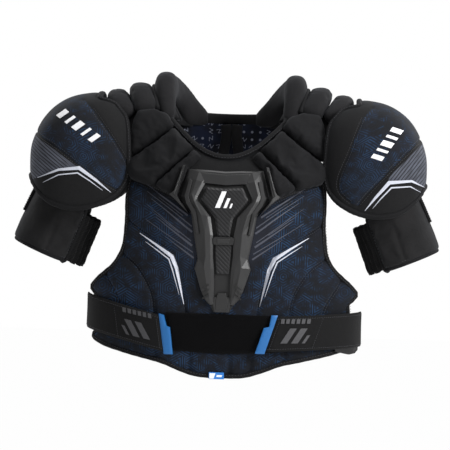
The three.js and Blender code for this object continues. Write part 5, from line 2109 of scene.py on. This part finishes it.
# ------------------------------------------------------------------ yoke cloths
YOKE_ROWS, YOKE_COLS = 20, 24


def yoke(name, sign, side, x, foot_z, foot_off, top_y, top_z, bulge_y, bulge_z, thick, drop):
    """cloth from the torso at foot_z up to (top_y, top_z); x is given for sign 1"""
    rise = np.linspace(0, 1, YOKE_ROWS)[:, None]
    off = np.broadcast_to(foot_off, x.shape).ravel()
    foot = onto(np.c_[x.ravel(), np.full(x.size, foot_z)], off, side).reshape(*x.shape, 3)
    bulge = np.sin(rise * math.pi)
    y = foot[..., 1] + (top_y - foot[..., 1]) * rise + bulge_y * bulge
    z = foot[..., 2] + (top_z - foot[..., 2]) * rise + bulge_z * bulge
    rounding = 0.8 * grid_rim(YOKE_ROWS, YOKE_COLS)
    layers = [stack3(sign * x, y - side * rounding, z),
              stack3(sign * x, y - side * (thick - rounding), z - drop)]
    return sheet(name, layers, PAD)


def yoke_cloths(side_name, sign):
    rise = np.linspace(0, 1, YOKE_ROWS)[:, None]
    u = np.linspace(0, 1, YOKE_COLS)
    x = 30 + 108 * u - 10 * rise * u
    k = np.clip((x - 84) / 20, 0, 1)
    cloth_back = yoke("back_yoke_cloth_" + side_name, sign, BACK, x, foot_z=346,
                      foot_off=3.4 + 1.6 * np.sin(rise * 3.1),
                      top_y=np.where(x > 84, 72 - 16 * k, 82.0 - 10 * (x - 30) / 54),
                      top_z=380 + k, bulge_y=5.0, bulge_z=3.0, thick=3.6, drop=0)
    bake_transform(cloth_back)
    lean = math.radians(-26)
    x = np.broadcast_to(82 + 57 * u, (YOKE_ROWS, YOKE_COLS))
    cloth_front = yoke("front_yoke_cloth_" + side_name, sign, FRONT, x, foot_z=345,
                       foot_off=5.0, top_y=60 * math.sin(lean),
                       top_z=ARCH_Z + 70 * math.cos(lean),
                       bulge_y=-6.0, bulge_z=5.0, thick=4.0, drop=2.5)
    mount(cloth_front, "chest", "fabric_black")


back_quilt()
torso_binding("back_edge_piping", inset(BACK_PANEL, 3.0), BACK, mid=3.3, width=7.2,
              height=9.6, body="back", node="back_edge_binding", thread_side=1, closed=True)
back_lining()
neck_back_panel()
for side, sign in SIDES:
    yoke_cloths(side, -sign)

# ------------------------------------------------------------------ back cushions
SPINE_PAD = [[-34, 66], [34, 66], [42, 150], [46, 250], [40, 325], [24, 340], [-24, 340],
             [-40, 325], [-46, 250], [-42, 150]]
SIDE_PAD = [[-52, 64], [-120, 72], [-160, 84], [-158, 112], [-140, 140], [-128, 176],
            [-124, 300], [-114, 334], [-60, 340], [-56, 250], [-52, 150]]
HANGING_LOOP = [
    [-25.5, 96.0, 336], [-26, 101.0, 346], [-24.5, 106.5, 361], [-12, 110.5, 374],
    [0, 112, 378], [12, 110.5, 374], [24.5, 106.5, 361], [26, 101.0, 346], [25.5, 96.0, 336]]


def spine_cushion():
    """segmented pad, flat along its middle"""
    heights = (112, 160, 208, 256, 300)
    grooves = [np.array([[-50, z], [0, z - 7], [50, z]], float) for z in heights]
    lines = [resample([[-38, z - 1.7], [0, z - 7], [38, z - 1.7]], 4) for z in heights]
    points, tris = triangulate(SPINE_PAD, by_speed(4.2), lines)
    d = nearest(points, grooves)
    edge = dist(points, SPINE_PAD, True)
    top = onto(points, 8.0 + 25.6 * pillow(edge, 11)
               - 7.5 * np.exp(-(d / 3.4) ** 2) * (edge > 0.5), BACK)
    top[:, 1] = np.minimum(top[:, 1], 127.0)
    pad = fix_out(slab("spine_cushion", tris, top, onto(points, 6.4, BACK), PAD, flip=True))
    subsurf(pad)
    mount(pad, "back", "fabric_black", "back_spine_pad")


def side_cushions():
    grooves = [np.array([[-170, z + 8], [-50, z]], float) for z in (150, 222, 286)]

    def top(points):
        d = nearest(points, grooves)
        edge = dist(points, SIDE_PAD, True)
        return (8.2 + 10.6 * pillow(edge, 14)
                - 5.5 * np.exp(-(d / 3.2) ** 2) * np.clip(edge / 4, 0, 1)
                + ripple(points * 1.5, 0.6))

    pad, points, tris = torso_slab("side_cushion_right", SIDE_PAD, by_speed(4.8), BACK,
                                   top, 6.6, PAD)
    held = rim_mask(tris, len(points)) | (nearest(points, grooves) < 2.4)
    puff(pad, pressure=2.6, frames=14, max_move=2.6, shrink=-0.06, bend=0.2,
         pins=pin_weights(held))
    mount_pair(pad, "back", "fabric_black", "back_side_pad")


def hanging_loop():
    loop = sweep("hanging_loop", curve(HANGING_LOOP, 3.0), [0, 1.0, 0.25],
                 ellipse(4.6, 1.2, 14, 4.0), STRAP)
    mount(loop, "back", "webbing", "hang_loop")


def buckle_loop():
    """small plastic piece at the lower edge of the left strap"""
    loop = belt_slab("buckle_loop", BUCKLE_LOOP, 4.0, 1, 15.4, 11.8, BUCKLE)
    bevel(loop, 0.8, angle=40)
    mount(loop, "belt_left", "webbing")


spine_cushion()
side_cushions()
hanging_loop()
buckle_loop()

# CAD parts that still show
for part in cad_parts.values():
    part.data.materials.clear()
    part.data.materials.append(SHELL_DARK)

# ------------------------------------------------------------------ studio, in metres
FLOOR_HALF, FLOOR_Z = 9, -0.42
SKY_LIGHT = 0.35          # world strength for light; camera rays see full white
LIGHT_TARGET = (0, 0, 0.22)
# Area lights: name, place, size, power
LIGHTS = [
    ("key", (1.7, -1.35, 1.1), 0.8, 60), ("fill", (-1.7, -1.7, 0.7), 1.4, 5),
    ("top", (0.1, -0.2, 2.0), 1.6, 22), ("rim_l", (-1.3, 1.2, 1.2), 0.8, 12),
    ("rim_r", (1.3, 1.2, 1.2), 0.8, 12), ("low", (0.2, -1.9, -0.1), 1.0, 3)]
CAMERA_TARGET = Vector((-0.0012, -0.045, 0.2235))
CAMERA_DISTANCE = 6.0
CAMERA_TURN, CAMERA_RISE, CAMERA_ROLL = [math.radians(a) for a in (2.0, 1.5, 1.7)]
VIEW_WIDTH = 0.669        # width seen at the target


def paper():
    """matt paper that looks almost pure white to the camera"""
    sh = Shader("paper")
    sh.finish(color=(0.86, 0.86, 0.86), rough=0.9, spec=0.1)
    glow = sh.node("Emission", {0: (1, 1, 1), 1: 1.0})
    share = sh.node("LightPath", {}, "Is Camera Ray") * 0.985
    mixed = sh.node("MixShader", {0: share, 1: Field(sh, sh.surface.outputs[0]), 2: glow})
    sh.tree.links.new(mixed.socket, sh.output.inputs[0])
    return sh.mat


def add_floor():
    mesh = bpy.data.meshes.new("floor")
    half = FLOOR_HALF
    corners = [(-half, -half, 0), (half, -half, 0), (half, half, 0), (-half, half, 0)]
    mesh.from_pydata(corners, [], [(0, 1, 2, 3)])
    mesh.update()
    floor = bpy.data.objects.new("floor", mesh)
    scene.collection.objects.link(floor)
    mesh.materials.append(paper())
    mesh.polygons[0].use_smooth = True
    floor.location.z = FLOOR_Z


def add_sky():
    world = bpy.data.worlds.new("sky")
    scene.world = world
    world.use_nodes = True
    tree = world.node_tree
    background = tree.nodes["Background"]
    background.inputs[0].default_value = (1, 1, 1, 1)
    background.inputs[1].default_value = SKY_LIGHT
    path = tree.nodes.new("ShaderNodeLightPath")
    strength = tree.nodes.new("ShaderNodeMath")
    strength.operation = "MULTIPLY_ADD"
    tree.links.new(path.outputs["Is Camera Ray"], strength.inputs[0])
    strength.inputs[1].default_value = 1 - SKY_LIGHT
    strength.inputs[2].default_value = SKY_LIGHT
    tree.links.new(strength.outputs[0], background.inputs[1])


def add_light(name, place, size, power):
    light = bpy.data.lights.new(name, "AREA")
    light.shape = "RECTANGLE"
    light.size = size
    light.size_y = size
    light.energy = power
    ob = bpy.data.objects.new(name, light)
    scene.collection.objects.link(ob)
    ob.location = place
    aim = Vector(LIGHT_TARGET) - Vector(place)
    ob.rotation_euler = aim.to_track_quat("-Z", "Y").to_euler()


def add_camera():
    camera = bpy.data.cameras.new("cam")
    ob = bpy.data.objects.new("cam", camera)
    scene.collection.objects.link(ob)
    direction = Vector((math.sin(CAMERA_TURN) * math.cos(CAMERA_RISE),
                        -math.cos(CAMERA_TURN) * math.cos(CAMERA_RISE),
                        math.sin(CAMERA_RISE)))
    place = CAMERA_TARGET + direction * CAMERA_DISTANCE
    aim = (CAMERA_TARGET - place).to_track_quat("-Z", "Y").to_matrix().to_4x4()
    ob.matrix_world = Matrix.Translation(place) @ aim @ Matrix.Rotation(CAMERA_ROLL, 4, "Z")
    camera.sensor_width = 36
    camera.lens = camera.sensor_width / (VIEW_WIDTH / CAMERA_DISTANCE)
    camera.clip_end = 50
    scene.camera = ob


add_floor()
add_sky()
for light in LIGHTS:
    add_light(*light)
add_camera()
scene.view_settings.view_transform = "Standard"

bpy.context.view_layer.update()
